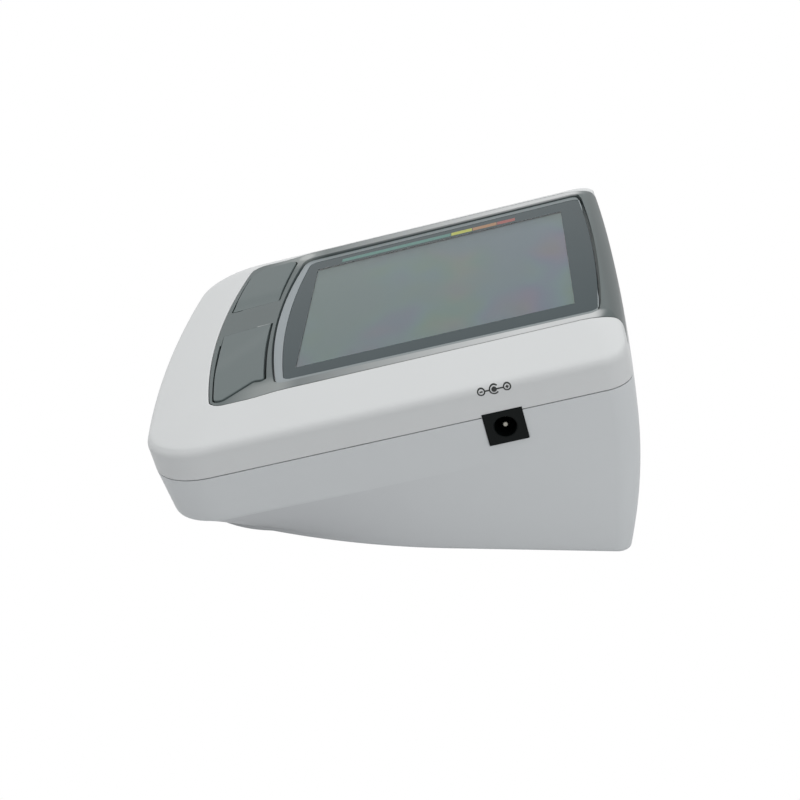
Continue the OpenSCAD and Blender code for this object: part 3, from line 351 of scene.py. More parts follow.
def turned_left(points):
    """True if an outline runs with its inside on its left."""
    area = sum(a[0] * b[1] - b[0] * a[1] for a, b in zip(points, points[1:] + points[:1]))
    return area > 0


def grown(points, gap):
    """An outline moved out by a gap."""
    side = 1 if turned_left(points) else -1
    out = []
    for i, p in enumerate(points):
        a, b = Vector(points[i - 1]), Vector(points[(i + 1) % len(points)])
        t = (b - a).normalized()
        out.append((p[0] + gap * side * t.y, p[1] - gap * side * t.x))
    return out


# Case screws, in plan
SCREWS = [(s * x, y) for s in (-1, 1)
          for x, y in ((40.0, FACE_Y + (key_front(0) - 3.45) * COS - SEAM_W * SIN),
                       (56.0, REAR_Y - 11.2))]


def seam_z(y):
    return FACE_Z + face_v(y, SEAM_W) * SIN + SEAM_W * COS


# ---- Mesh helpers ----


def dip(v, w):
    """How far the top of the face sinks round the keys, in front of the display."""
    return DIP * rise(w) ** 2 * smooth((DIP_FROM - v) / DIP_LENGTH)


def link(name, data):
    """A new object of the scene, for a mesh, a lamp or a camera."""
    obj = bpy.data.objects.new(name, data)
    bpy.context.scene.collection.objects.link(obj)
    return obj


def discard(obj):
    mesh = obj.data
    bpy.data.objects.remove(obj)
    bpy.data.meshes.remove(mesh)


def finish_mesh(bm, name):
    """A mesh from bm, with doubles merged and faces outwards; bm is used up."""
    bmesh.ops.remove_doubles(bm, verts=bm.verts, dist=2e-7)
    bmesh.ops.recalc_face_normals(bm, faces=bm.faces)
    mesh = bpy.data.meshes.new(name)
    bm.to_mesh(mesh)
    bm.free()
    return mesh


def ladder(bm, ring, flip):
    """Closes a mirrored ring with strips that run across it."""
    n = len(ring) // 2
    for i in range(n):
        a, b = ring[i], ring[i + 1]
        c, d = ring[-i - 1], ring[-i] if i else ring[0]
        corners = []
        for p in (a, b, c, d):
            if p not in corners:
                corners.append(p)
        if len(corners) > 2:
            bm.faces.new(corners[::-1] if flip else corners)


def skin(name, rings, caps="ladder"):
    """A closed solid through rings of points that lie one above the other."""
    bm = bmesh.new()
    loops = [[bm.verts.new(p) for p in ring] for ring in rings]
    n = len(loops[0])
    for low, high in zip(loops, loops[1:]):
        for i in range(n):
            j = (i + 1) % n
            bm.faces.new((low[i], low[j], high[j], high[i]))
    if caps == "ladder":
        ladder(bm, loops[0], True)
        ladder(bm, loops[-1], False)
    elif caps == "loop":
        for i in range(n):
            j = (i + 1) % n
            bm.faces.new((loops[-1][i], loops[-1][j], loops[0][j], loops[0][i]))
    else:
        bm.faces.new(loops[0][::-1])
        bm.faces.new(loops[-1])
    return link(name, finish_mesh(bm, name))


def plate(name, points, low, high, caps="ngon"):
    """A flat piece of the face: an outline from one level up to another."""
    if not turned_left(list(points)):
        points = list(points)[::-1]
    return skin(name, [[face(x, v, w) for x, v in points] for w in (low, high)], caps)


def block(name, low, high, tilted=True):
    """A box from corner to corner, in the face frame or the row frame."""
    square = [(low[0], low[1]), (high[0], low[1]), (high[0], high[1]), (low[0], high[1])]
    if tilted:
        return plate(name, square, low[2], high[2])
    rings = [[Vector((x, y, z)) * MM for x, y in square] for z in (low[2], high[2])]
    return skin(name, rings, "ngon")


def turned(name, profile, place, axis, steps=48, closed=True):
    """A lathed solid: profile is (distance along axis, radius), place its start in metres."""
    axis = Vector(axis).normalized()
    turn = Vector((0, 0, 1)).rotation_difference(axis).to_matrix().to_4x4()
    rings = []
    for along, r in profile:
        ring = []
        for k in range(steps):
            a = 2 * math.pi * k / steps
            ring.append(Vector(place) + turn @ (Vector((r * math.cos(a), r * math.sin(a), along)) * MM))
        rings.append(ring)
    return skin(name, rings, "ngon" if closed else "loop")


def slanted_post(name, x, y, r, z_low, w_high, steps=40, w_low=None):
    """An upright post from a height, or the face level w_low, up to the face level w_high."""
    rings = []
    for w in (w_low, w_high):
        ring = []
        for k in range(steps):
            a = 2 * math.pi * k / steps
            px, py = x + r * math.cos(a), y + r * math.sin(a)
            z = z_low if w is None else FACE_Z + face_v(py, w) * SIN + w * COS
            ring.append(Vector((px, py, z)) * MM)
        rings.append(ring)
    return skin(name, rings, "ngon")


def settle(obj):
    """Replaces an object's mesh by what its modifiers make of it."""
    bpy.context.view_layer.update()
    graph = bpy.context.evaluated_depsgraph_get()
    mesh = bpy.data.meshes.new_from_object(obj.evaluated_get(graph), depsgraph=graph)
    obj.modifiers.clear()
    old = obj.data
    obj.data = mesh
    mesh.name = obj.name
    bpy.data.meshes.remove(old)
    return obj


def combine(obj, others, operation="DIFFERENCE"):
    """A boolean of an object with others, which are used up."""
    for other in others:
        m = obj.modifiers.new("shape", "BOOLEAN")
        m.operation = operation
        m.object = other
        m.solver = "MANIFOLD"
        settle(obj)
        if not obj.data.polygons:
            raise RuntimeError(f"{obj.name}: {operation} with {other.name} left nothing of it")
        discard(other)
    return obj


def keep_inside(pieces, bound):
    """Cuts each piece to what lies inside bound, which is used up."""
    for piece in pieces:
        combine(piece, [link("guard", bound.data.copy())], "INTERSECT")
    discard(bound)


def polish(obj, angle=32, bevel=None, segments=2, limit=50):
    """Merges doubles, softens edges where asked and shades smoothly up to an angle."""
    bm = bmesh.new()
    bm.from_mesh(obj.data)
    bmesh.ops.remove_doubles(bm, verts=bm.verts, dist=4e-7)
    bmesh.ops.dissolve_degenerate(bm, edges=bm.edges, dist=4e-7)
    bmesh.ops.recalc_face_normals(bm, faces=bm.faces)
    bm.to_mesh(obj.data)
    bm.free()
    if bevel:
        m = obj.modifiers.new("edge", "BEVEL")
        m.width = bevel * MM
        m.segments = segments
        m.limit_method = "ANGLE"
        m.angle_limit = math.radians(limit)
        m.use_clamp_overlap = True
        settle(obj)
    obj.data.shade_smooth()
    obj.data.set_sharp_from_angle(angle=math.radians(angle))
    m = obj.modifiers.new("normals", "WEIGHTED_NORMAL")
    m.keep_sharp = True
    m.weight = 80
    settle(obj)
    return obj


def merged(name, objects):
    """One object from several, used up; their materials are kept."""
    bm = bmesh.new()
    materials = []
    for obj in objects:
        offset = len(materials)
        materials += list(obj.data.materials) or [None]
        start = len(bm.faces)
        bm.from_mesh(obj.data)
        bm.faces.ensure_lookup_table()
        for f in bm.faces[start:]:
            f.material_index += offset
        discard(obj)
    mesh = bpy.data.meshes.new(name)
    bm.to_mesh(mesh)
    bm.free()
    for m in materials:
        mesh.materials.append(m)
    return link(name, mesh)


def place(obj, body, slot, material, *nodes):
    """Gives a finished piece its material and body and hides the CAD nodes it stands for; slot is not used.
    """
    if material is not None:
        obj.data.materials.clear()
        obj.data.materials.append(material)
    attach(obj, body)
    if nodes:
        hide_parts(*nodes)
    return obj


# ---- Materials ----


def srgb(r, g, b):
    """A colour as read from a picture, in the renderer's linear values."""
    out = []
    for c in (r, g, b):
        c /= 255
        out.append(c / 12.92 if c <= 0.04045 else ((c + 0.055) / 1.055) ** 2.4)
    return tuple(out) + (1.0,)


class Nodes:
    """A short way to write the node tree of a new material, or of a world."""

    def __init__(self, name, world=None):
        self.material = world or bpy.data.materials.new(name)
        self.material.use_nodes = True
        self.tree = self.material.node_tree
        self.tree.nodes.clear()
        self.out = self.add("ShaderNodeOutputWorld" if world else "ShaderNodeOutputMaterial")

    def add(self, kind, inputs=None, **settings):
        node = self.tree.nodes.new(kind)
        for key, value in settings.items():
            setattr(node, key, value)
        for key, value in (inputs or {}).items():
            if isinstance(value, bpy.types.NodeSocket):
                self.tree.links.new(value, node.inputs[key])
            else:
                node.inputs[key].default_value = value
        return node

    def place(self):
        return self.add("ShaderNodeTexCoord").outputs["Object"]

    def math(self, operation, a, b=0.0, clamp=False):
        return self.add("ShaderNodeMath", {0: a, 1: b}, operation=operation, use_clamp=clamp).outputs[0]

    def noise(self, scale, detail=2.0, where=None, roughness=0.5):
        node = self.add("ShaderNodeTexNoise", {
            "Vector": where or self.place(), "Scale": scale, "Detail": detail, "Roughness": roughness})
        return node.outputs["Fac"]

    def mix(self, factor, a, b):
        node = self.add("ShaderNodeMix", data_type="RGBA")
        for key, value in ((0, factor), (6, a), (7, b)):
            if isinstance(value, bpy.types.NodeSocket):
                self.tree.links.new(value, node.inputs[key])
            else:
                node.inputs[key].default_value = value
        return node.outputs[2]

    def bump(self, height, strength, distance):
        return self.add("ShaderNodeBump", {
            "Height": height, "Strength": strength, "Distance": distance * MM}).outputs["Normal"]

    def step(self, value, low, high):
        """0 below low, 1 above high, smooth in between; low may lie above high."""
        node = self.add("ShaderNodeMapRange", {"Value": value, 1: low, 2: high},
                        interpolation_type="SMOOTHSTEP")
        return node.outputs[0]

    def shader(self, colour, roughness=0.5, metallic=0.0, normal=None, specular=0.28):
        node = self.add("ShaderNodeBsdfPrincipled", {
            "Base Color": colour, "Roughness": roughness, "Metallic": metallic,
            "Specular IOR Level": specular})
        if normal is not None:
            self.tree.links.new(normal, node.inputs["Normal"])
        return node

    def end(self, shader):
        self.tree.links.new(shader.outputs[0], self.out.inputs["Surface"])
        return self.material

    def seen(self):
        """1 for what the camera sees, also by way of a reflection or through glass, else 0."""
        path = self.add("ShaderNodeLightPath").outputs
        other = self.math("MAXIMUM", path["Is Glossy Ray"], path["Is Transmission Ray"])
        return self.math("MAXIMUM", path["Is Camera Ray"], other)

    def face_axes(self):
        """x, v and w of the face frame in millimetres, as sockets."""
        split = self.add("ShaderNodeSeparateXYZ", {"Vector": self.place()}).outputs
        y = self.math("SUBTRACT", split["Y"], FACE_Y * MM)
        z = self.math("SUBTRACT", split["Z"], FACE_Z * MM)
        v = self.math("ADD", self.math("MULTIPLY", y, COS), self.math("MULTIPLY", z, SIN))
        w = self.math("SUBTRACT", self.math("MULTIPLY", z, COS), self.math("MULTIPLY", y, SIN))
        return [self.math("MULTIPLY", s, 1000.0) for s in (split["X"], v, w)]


def tone(colour, k):
    """A colour made lighter or darker by a factor."""
    return tuple(min(1.0, c * k) for c in colour[:3]) + (1.0,)


def plastic(name, colour, roughness=0.45, spread=0.02, grain=1400.0, height=0.012, specular=0.28):
    """Moulded plastic: an even colour with faint drift and a fine moulded grain."""
    n = Nodes(name)
    base = n.mix(n.noise(38.0, 3.0), tone(colour, 1 - spread), tone(colour, 1 + spread))
    grain_height = n.noise(grain, 2.0)
    return n.end(n.shader(base, roughness, normal=n.bump(grain_height, 0.35, height), specular=specular))


def metal(name, colour, roughness=0.3, stretch=(1, 1, 1), scale=900.0):
    """Metal with faint drawn or rolled marks along the axis that is stretched."""
    n = Nodes(name)
    where = n.add("ShaderNodeMapping", {"Vector": n.place(), "Scale": stretch}).outputs[0]
    marks = n.noise(scale, 3.0, where)
    base = n.mix(marks, tone(colour, 0.92), tone(colour, 1.06))
    rough = n.add("ShaderNodeMapRange", {"Value": marks, 3: roughness * 0.8, 4: roughness * 1.25}).outputs[0]
    return n.end(n.shader(base, rough, 1.0, n.bump(marks, 0.2, 0.004)))


def rubber(name, colour, roughness=0.75):
    """Rubber or silicone: fine dull specks."""
    n = Nodes(name)
    speck = n.noise(2600.0, 3.0)
    base = n.mix(speck, tone(colour, 0.9), tone(colour, 1.12))
    return n.end(n.shader(base, roughness, normal=n.bump(speck, 0.5, 0.01), specular=0.3))


def console_material():
    """Grey console plastic, darker behind the lens, with painted sheen along the rails beside the display and
    painted highlights beside the keys' front ends, along their hinge edges and on the far front corner.
    """
    n = Nodes("console_grey")
    x, v, w = n.face_axes()
    side = n.math("ABSOLUTE", x)
    # Painted sheen along the rails beside the display, stronger towards the back
    rail = n.math("MULTIPLY", n.step(side, 45.0, 46.4), n.step(v, -9.0, 2.0))
    rail = n.math("MULTIPLY", rail, n.step(v, 88.5, 84.0))
    rail = n.math("MULTIPLY", rail, n.step(w, 0.3, 0.85))
    sheen = n.add("ShaderNodeMapRange", {"Value": v, 1: 2.0, 2: 64.0, 3: 0.1, 4: 1.0}).outputs[0]
    rail = n.math("MULTIPLY", rail, sheen)
    # Painted highlight on the slopes beside the keys' front ends
    painted_highlight = n.math("MULTIPLY", n.step(side, 38.5, 45.5), n.step(v, -21.0, -7.0))
    painted_highlight = n.math("MULTIPLY", painted_highlight, n.step(v, 3.0, -4.0))
    painted_highlight = n.math("MULTIPLY", painted_highlight, 0.42)
    # Painted highlights along the keys' hinge edges, near their backs
    tick_highlight = n.math("MULTIPLY", n.step(v, -16.2, -15.2), n.step(v, -11.2, -11.8))
    for pivot in (START_PIVOT, MEMORY_PIVOT):
        off = n.math("ABSOLUTE", n.math("SUBTRACT", x, pivot + (0.12 if pivot > 0 else -0.1)))
        edge = n.math("MULTIPLY", tick_highlight, n.step(off, 0.32, 0.2))
        painted_highlight = n.math("MAXIMUM", painted_highlight, n.math("MULTIPLY", edge, 0.75))
    drift = n.noise(30.0, 3.0)
    colour = bpy.context.scene.monitor_finish.console
    base = n.mix(drift, tone(colour, 0.93), tone(colour, 1.07))
    base = n.mix(n.step(v, 87.6, 89.5), base, tone(colour, 0.79))
    # Painted highlight round the console's far front corner
    corner = n.add("ShaderNodeVectorMath", {0: n.place(), 1: face(*CORNER_SHINE)}, operation="DISTANCE")
    painted_highlight = n.math("MAXIMUM", painted_highlight, n.step(corner.outputs["Value"], 4.6 * MM, 1.2 * MM))
    # The painted highlights are mixed into the colour
    base = n.mix(painted_highlight, base, srgb(168, 172, 170))
    # The painted sheen is mixed in on the rails
    base = n.mix(rail, base, srgb(196, 198, 198))
    return n.end(n.shader(base, 0.42, normal=n.bump(n.noise(1500.0), 0.3, 0.01)))


def bezel_material():
    """Satin light grey, darker along the arms beside the display."""
    n = Nodes("bezel_grey")
    x, v, _ = n.face_axes()
    arm = n.math("MULTIPLY", n.step(n.math("ABSOLUTE", x), 42.0, 43.2), n.step(v, -5.0, 3.0))
    colour = bpy.context.scene.monitor_finish.bezel
    base = n.mix(n.noise(38.0, 3.0), tone(colour, 0.952), tone(colour, 1.048))
    base = n.mix(n.math("MULTIPLY", arm, 0.6), base, srgb(112, 121, 121))
    return n.end(n.shader(base, 0.36, normal=n.bump(n.noise(1500.0), 0.3, 0.008)))


def white_low_material():
    """White plastic of the lower case, with painted shade below the crease in front."""
    n = Nodes("case_white_low")
    _, v, w = n.face_axes()
    # Painted shade below the crease, strongest at the front and fading towards the back
    shade = n.math("MULTIPLY", n.step(w, CREASE_W + 0.1, CREASE_W - 0.3), n.step(v, 62.0, -20.0))
    colour = bpy.context.scene.monitor_finish.lower_case
    base = n.mix(n.noise(38.0, 3.0), tone(colour, 0.988), tone(colour, 1.012))
    base = n.mix(n.math("MULTIPLY", shade, 0.32), base, srgb(176, 177, 180))
    return n.end(n.shader(base, 0.52, normal=n.bump(n.noise(1100.0), 0.35, 0.014)))


def lens_material():
    """A clear lens with a dark border printed round its window."""
    n = Nodes("lens")
    x, v, _ = n.face_axes()
    side = n.step(n.math("ABSOLUTE", x), WINDOW[0] + 0.05, WINDOW[0] - 0.05)
    near = n.step(v, -0.05, 0.05)
    far = n.step(v, WINDOW[1] + 0.05, WINDOW[1] - 0.05)
    window = n.math("MULTIPLY", side, n.math("MULTIPLY", near, far))
    colour = bpy.context.scene.monitor_finish.lens_border
    drift = n.mix(n.noise(60.0, 4.0), tone(colour, 0.91), tone(colour, 1.09))
    border = n.shader(drift, 0.12, specular=0.16)
    clear = n.add("ShaderNodeBsdfTransparent", {"Color": (0.93, 0.95, 0.95, 1.0)})
    gloss = n.add("ShaderNodeBsdfGlossy", {"Roughness": 0.1})
    fresnel = n.add("ShaderNodeFresnel", {"IOR": 1.33})
    outer = n.math("SUBTRACT", 1.0, n.add("ShaderNodeNewGeometry").outputs["Backfacing"])
    shine = n.math("MULTIPLY", fresnel.outputs[0], outer)
    pane = n.add("ShaderNodeMixShader", {0: shine, 1: clear.outputs[0], 2: gloss.outputs[0]})
    return n.end(n.add("ShaderNodeMixShader", {0: window, 1: border.outputs[0], 2: pane.outputs[0]}))


def display_material():
    """Unlit liquid crystal: grey, with the faint colours that its film throws, and painted shade along its
    far edge.
    """
    n = Nodes("display")
    x, v, _ = n.face_axes()
    where = n.add("ShaderNodeMapping", {"Vector": n.place(), "Scale": (1.0, 1.5, 1.0)}).outputs[0]
    drift = n.noise(17.0, 1.5, where)
    hue = n.add("ShaderNodeMapRange", {"Value": n.noise(23.0, 2.0, where), 1: 0.3, 2: 0.7}).outputs[0]
    film = n.add("ShaderNodeCombineColor", {"Red": hue, "Green": 0.4, "Blue": 0.2}, mode="HSV").outputs[0]
    base = n.mix(n.step(v, 0.0, 78.0), srgb(98, 112, 110), srgb(101, 112, 121))
    base = n.mix(n.math("MULTIPLY", n.step(drift, 0.4, 0.62), 0.5), base, film)
    # Painted shade along the far edge of the window
    side = n.math("MULTIPLY", n.step(x, -27.0, -36.5), 0.3)
    base = n.mix(side, base, srgb(60, 72, 72))
    return n.end(n.shader(base, 0.4, specular=0.16))


def board_material():
    """Green solder mask over copper tracks."""
    n = Nodes("board")
    tracks = n.add("ShaderNodeTexBrick", {"Vector": n.place(), "Scale": 260.0, "Mortar Size": 0.03},
                   offset=0.37, squash=2.2).outputs["Fac"]
    base = n.mix(tracks, srgb(20, 84, 50), srgb(38, 112, 66))
    return n.end(n.shader(base, 0.35, normal=n.bump(tracks, 0.4, 0.03), specular=0.5))


def label_material():
    """A blank paper label with a thin grey line inside its edge."""
    n = Nodes("label")
    low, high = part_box("rating_label")
    split = n.add("ShaderNodeSeparateXYZ", {"Vector": n.place()}).outputs
    line = None
    for axis, name in ((0, "X"), (1, "Y")):
        middle = (low[axis] + high[axis]) / 2
        reach = (high[axis] - low[axis]) / 2 - 1.2 * MM
        off = n.math("ABSOLUTE", n.math("SUBTRACT", split[name], middle))
        inside = n.math("SUBTRACT", reach, off)
        line = inside if line is None else n.math("MINIMUM", line, inside)
    ring = n.math("LESS_THAN", n.math("ABSOLUTE", line), 0.12 * MM)
    fibre = n.noise(900.0, 4.0)
    base = n.mix(fibre, srgb(198, 200, 199), srgb(206, 207, 206))
    return n.end(n.shader(n.mix(ring, base, srgb(120, 122, 122)), 0.6, normal=n.bump(fibre, 0.2, 0.006)))


MATERIALS = {}


def material(name):
    """A material by name, made when it is first asked for."""
    finish = bpy.context.scene.monitor_finish
    makers = {
        "case_white": lambda: plastic("case_white", finish.upper_case, 0.5, 0.012, 1100.0, 0.014),
        "case_white_low": white_low_material,
        "console_grey": console_material,
        "bezel_grey": bezel_material,
        "lens": lens_material,
        "key_grey": lambda: plastic("key_grey", finish.keys, 0.44, 0.02, 1700.0, 0.012),
        "display": display_material,
        "white_plastic": lambda: plastic("white_plastic", srgb(222, 222, 216), 0.45),
        "elastomer": lambda: rubber("elastomer", srgb(206, 140, 150), 0.6),
        "board": board_material,
        "black_plastic": lambda: plastic("black_plastic", srgb(6, 11, 11), 0.42, 0.06, specular=0.12),
        "capacitor_can": lambda: plastic("capacitor_can", srgb(40, 46, 78), 0.3, 0.05),
        "switch_steel": lambda: metal("switch_steel", srgb(196, 197, 198), 0.34),
        "tube_silicone": lambda: rubber("tube_silicone", srgb(205, 208, 204), 0.4),
        "socket_plastic": lambda: plastic("socket_plastic", srgb(196, 198, 200), 0.4),
        "plated_pin": lambda: metal("plated_pin", srgb(150, 148, 140), 0.25),
        "valve_steel": lambda: metal("valve_steel", srgb(150, 152, 154), 0.38),
        "bright_steel": lambda: metal("bright_steel", srgb(200, 201, 203), 0.24, (1, 1, 0.1)),
        "motor_can": lambda: metal("motor_can", srgb(186, 188, 190), 0.3, (1, 0.08, 1)),
        "black_rubber": lambda: rubber("black_rubber", srgb(52, 53, 54)),
        "cell_jacket": lambda: plastic("cell_jacket", srgb(48, 52, 60), 0.32, 0.05),
        "cell_band": lambda: plastic("cell_band", srgb(176, 128, 66), 0.3, 0.05),
        "contact_steel": lambda: metal("contact_steel", srgb(204, 204, 202), 0.26),
        "label": label_material,
        "lead_red": lambda: rubber("lead_red", srgb(172, 34, 32), 0.5),
        "lead_black": lambda: rubber("lead_black", srgb(26, 26, 27), 0.5),
        "ink": lambda: plastic("ink", srgb(52, 54, 53), 0.5, 0.03),
        "band_teal": lambda: plastic("band_teal", srgb(74, 118, 110), 0.3, 0.03),
        "band_yellow": lambda: plastic("band_yellow", srgb(164, 168, 66), 0.3, 0.03),
        "band_orange": lambda: plastic("band_orange", srgb(150, 112, 78), 0.3, 0.03),
        "band_red": lambda: plastic("band_red", srgb(140, 74, 70), 0.3, 0.03),
    }
    if name not in MATERIALS:
        MATERIALS[name] = makers[name]()
    return MATERIALS[name]


# ---- Geometry nodes ----


def repeat(name, source, places, mat):
    """Copies of one mesh at marked places, made by a small node tree and joined in one mesh."""
    marks = bpy.data.meshes.new(name + "_places")
    marks.from_pydata([tuple(p) for p in places], [], [])
    holder = link(name, marks)
    tree = bpy.data.node_groups.new(name + "_tree", "GeometryNodeTree")
    io = tree.interface
    io.new_socket("Geometry", in_out="INPUT", socket_type="NodeSocketGeometry")
    io.new_socket("Piece", in_out="INPUT", socket_type="NodeSocketObject")
    io.new_socket("Scale", in_out="INPUT", socket_type="NodeSocketFloat")
    io.new_socket("Finish", in_out="INPUT", socket_type="NodeSocketMaterial")
    io.new_socket("Geometry", in_out="OUTPUT", socket_type="NodeSocketGeometry")
    add = tree.nodes.new
    start, end = add("NodeGroupInput"), add("NodeGroupOutput")
    points, info = add("GeometryNodeMeshToPoints"), add("GeometryNodeObjectInfo")
    copies, real = add("GeometryNodeInstanceOnPoints"), add("GeometryNodeRealizeInstances")
    paint = add("GeometryNodeSetMaterial")
    wire = tree.links.new
    wire(start.outputs["Geometry"], points.inputs["Mesh"])
    wire(start.outputs["Piece"], info.inputs["Object"])
    wire(points.outputs["Points"], copies.inputs["Points"])
    wire(info.outputs["Geometry"], copies.inputs["Instance"])
    wire(start.outputs["Scale"], copies.inputs["Scale"])
    wire(copies.outputs["Instances"], real.inputs["Geometry"])
    wire(real.outputs["Geometry"], paint.inputs["Geometry"])
    wire(start.outputs["Finish"], paint.inputs["Material"])
    wire(paint.outputs["Geometry"], end.inputs["Geometry"])
    m = holder.modifiers.new("copies", "NODES")
    m.node_group = tree
    for item in io.items_tree:
        if item.item_type == "SOCKET" and item.in_out == "INPUT" and item.name != "Geometry":
            m[item.identifier] = {"Piece": source, "Scale": 1.0, "Finish": mat}[item.name]
    settle(holder)
    holder.data.materials.clear()
    if mat is not None:
        holder.data.materials.append(mat)
    for f in holder.data.polygons:
        f.material_index = 0
    discard(source)
    bpy.data.node_groups.remove(tree)
    return holder


# ---- Settings ----


class CaseSettings(bpy.types.PropertyGroup):
    seam: bpy.props.FloatProperty(
        name="Seam", description="Width of the line between both halves of the case",
        default=0.26 * MM, min=0.05 * MM, unit="LENGTH")


class ConsoleSettings(bpy.types.PropertyGroup):
    gap: bpy.props.FloatProperty(
        name="Gap to the case", description="Line between console and case",
        default=0.28 * MM, min=0.05 * MM, unit="LENGTH")
    key_gap: bpy.props.FloatProperty(
        name="Key gap", description="Gap along the free edges of the keys",
        default=0.5 * MM, min=0.1 * MM, unit="LENGTH")
    key_rise: bpy.props.FloatProperty(
        name="Key rise", description="How far the keys stand above the console round them",
        default=0.4 * MM, min=0.1 * MM, unit="LENGTH")


class DisplaySettings(bpy.types.PropertyGroup):
    edge: bpy.props.FloatProperty(
        name="Lens edge", description="Chamfer round the lens",
        default=0.15 * MM, min=0.02 * MM, unit="LENGTH")
    bar_x: bpy.props.FloatProperty(
        name="Bar place", description="Where the coloured bar lies beside the window",
        default=-38.9 * MM, unit="LENGTH")
    bar_width: bpy.props.FloatProperty(
        name="Bar width", description="Width of the coloured bar",
        default=2.5 * MM, min=0.2 * MM, unit="LENGTH")


def colour_setting(name, description, red, green, blue):
    return bpy.props.FloatVectorProperty(
        name=name, description=description, size=3, min=0.0, max=1.0, subtype="COLOR",
        default=srgb(red, green, blue)[:3])


class FinishSettings(bpy.types.PropertyGroup):
    upper_case: colour_setting("Upper case", "White of the upper half of the case", 211, 213, 213)
    lower_case: colour_setting("Lower case", "White of the lower half of the case", 209, 212, 213)
    console: colour_setting("Console", "Grey of the console panel", 87, 96, 96)
    keys: colour_setting("Keys", "Grey of both keys", 93, 103, 103)
    bezel: colour_setting("Bezel", "Grey of the strips beside the display", 137, 145, 148)
    lens_border: colour_setting("Lens border", "Print round the window of the lens", 44, 60, 64)


class StageSettings(bpy.types.PropertyGroup):
    lens: bpy.props.FloatProperty(
        name="Focal length", description="Focal length of the camera in millimetres",
        default=69.44, min=1.0, unit="CAMERA")
    sky: bpy.props.FloatProperty(
        name="Sky", description="Level of the even light", default=0.545, min=0.0)
    key: bpy.props.FloatProperty(
        name="Key light", description="Level of the soft light above", default=1.0, min=0.0)


# ---- Operators ----


def outer_form(name):
    levels = [SEAM_W - 2, -11.0, -9.6]
    levels += [mix(-7.0, -3.3, i / 18) for i in range(19)]
    levels += [-2.8, -2.3, -1.8, -1.2, -0.7, -0.2, 0.2, 0.5, 0.7, 0.85, 0.93, 0.98, TOP_W]
    rings = []
    for w in levels:
        rings.append([face(x, v, w - dip(v, w)) for x, v in whole(upper_half(max(w, SEAM_W)))])
    return skin(name, rings)


def console_zone(gap, name):
    """The cutter or body for where the console lies: its plate, and its lip down the back."""
    chamfer = 0.12 if gap else -0.12
    levels = ((gap, DECK_TOP_W), (gap, 0.25), (gap + chamfer, 1.4), (gap, 6))
    body = skin(name, [[face(x, v, w) for x, v in whole(console_half(g))] for g, w in levels], "ngon")
    hw = CONSOLE_REAR_HW + gap
    lip = block(name + "_lip", (-hw, back_v(LIP_W) - LIP_DEPTH - gap, LIP_W - gap),
                (hw, LENS_BACK + 34, DECK_TOP_W + 0.4))
    return combine(body, [lip], "UNION")


def inlet_room():
    """The cutter for the power inlet's opening, which lies across the seam."""
    v, w = INLET
    play = 0.12
    half_v, half_w = (size / 2 + play for size in INLET_SIZE)
    return block("inlet_room", (CASE_HW - 8, v - half_v, w - half_w), (CASE_HW + 5, v + half_v, w + half_w))


def board_studs(name, r, low, high, steps=32):
    """Upright rods at the four places where the board is screwed on, from level to level."""
    rods = []
    for side in (-1, 1):
        for v in (-5, LENS_BACK - 8.2):
            rods.append(turned(name, [(low - BOARD_TOP_W, r), (high - BOARD_TOP_W, r)],
                               face(side * STUD_X, v, BOARD_TOP_W), (0, -SIN, COS), steps))
    return rods


class MONITOR_OT_upper_case(bpy.types.Operator):
    """Build the upper half of the case"""
    bl_idname = "monitor.upper_case"
    bl_label = "Upper case"

    def execute(self, context):
        shell = outer_form("case_upper")
        hw = CASE_HW - 9.5
        front = 8 - FRONT_REACH
        back = back_v(LIP_W) - LIP_DEPTH - 2
        room_w = -7.2
        half, window_front, window_back = WINDOW_ROOM
        key_play = 0.5
        cutters = [
            plate("trim", [(-90, -90), (90, -90), (90, 130), (-90, 130)], SEAM_W - 5, SEAM_W),
            plate("room", whole(upper_half(SEAM_W, WALL)), SEAM_W - 4, room_w, "ladder"),
            plate("recess", rounded([(-hw, front), (hw, front), (hw, back), (-hw, back)], [12, 12, 3, 3]),
                  room_w - 1, DECK_W),
            console_zone(context.scene.monitor_console.gap / MM, "zone"),
            block("window", (-half, window_front, DECK_W - 1), (half, window_back, 1)),
            plate("key_hole", grown(start_outline(), key_play), DECK_W - 1, 1),
            plate("memory_hole", grown(memory_outline(), key_play), DECK_W - 1, 1),
            inlet_room(),
        ]
        combine(shell, cutters)
        posts = [slanted_post("post", x, y, 3.3, 0, DECK_W + 0.1, w_low=SEAM_W) for x, y in SCREWS]
        combine(shell, posts + board_studs("stud", 2.8, BOARD_TOP_W, DECK_W + 0.1), "UNION")
        holes = [turned("bore", [(0, 1.5), (seam_z(y) + 9, 1.5)], Vector((x, y, 0)) * MM, (0, 0, 1), 24)
                 for x, y in SCREWS]
        combine(shell, holes + board_studs("hole", 1.05, BOARD_TOP_W - 1, DECK_W - 1, 20))
        polish(shell)
        place(shell, "case", "case_white", material("case_white"), "upper_case")
        return {"FINISHED"}


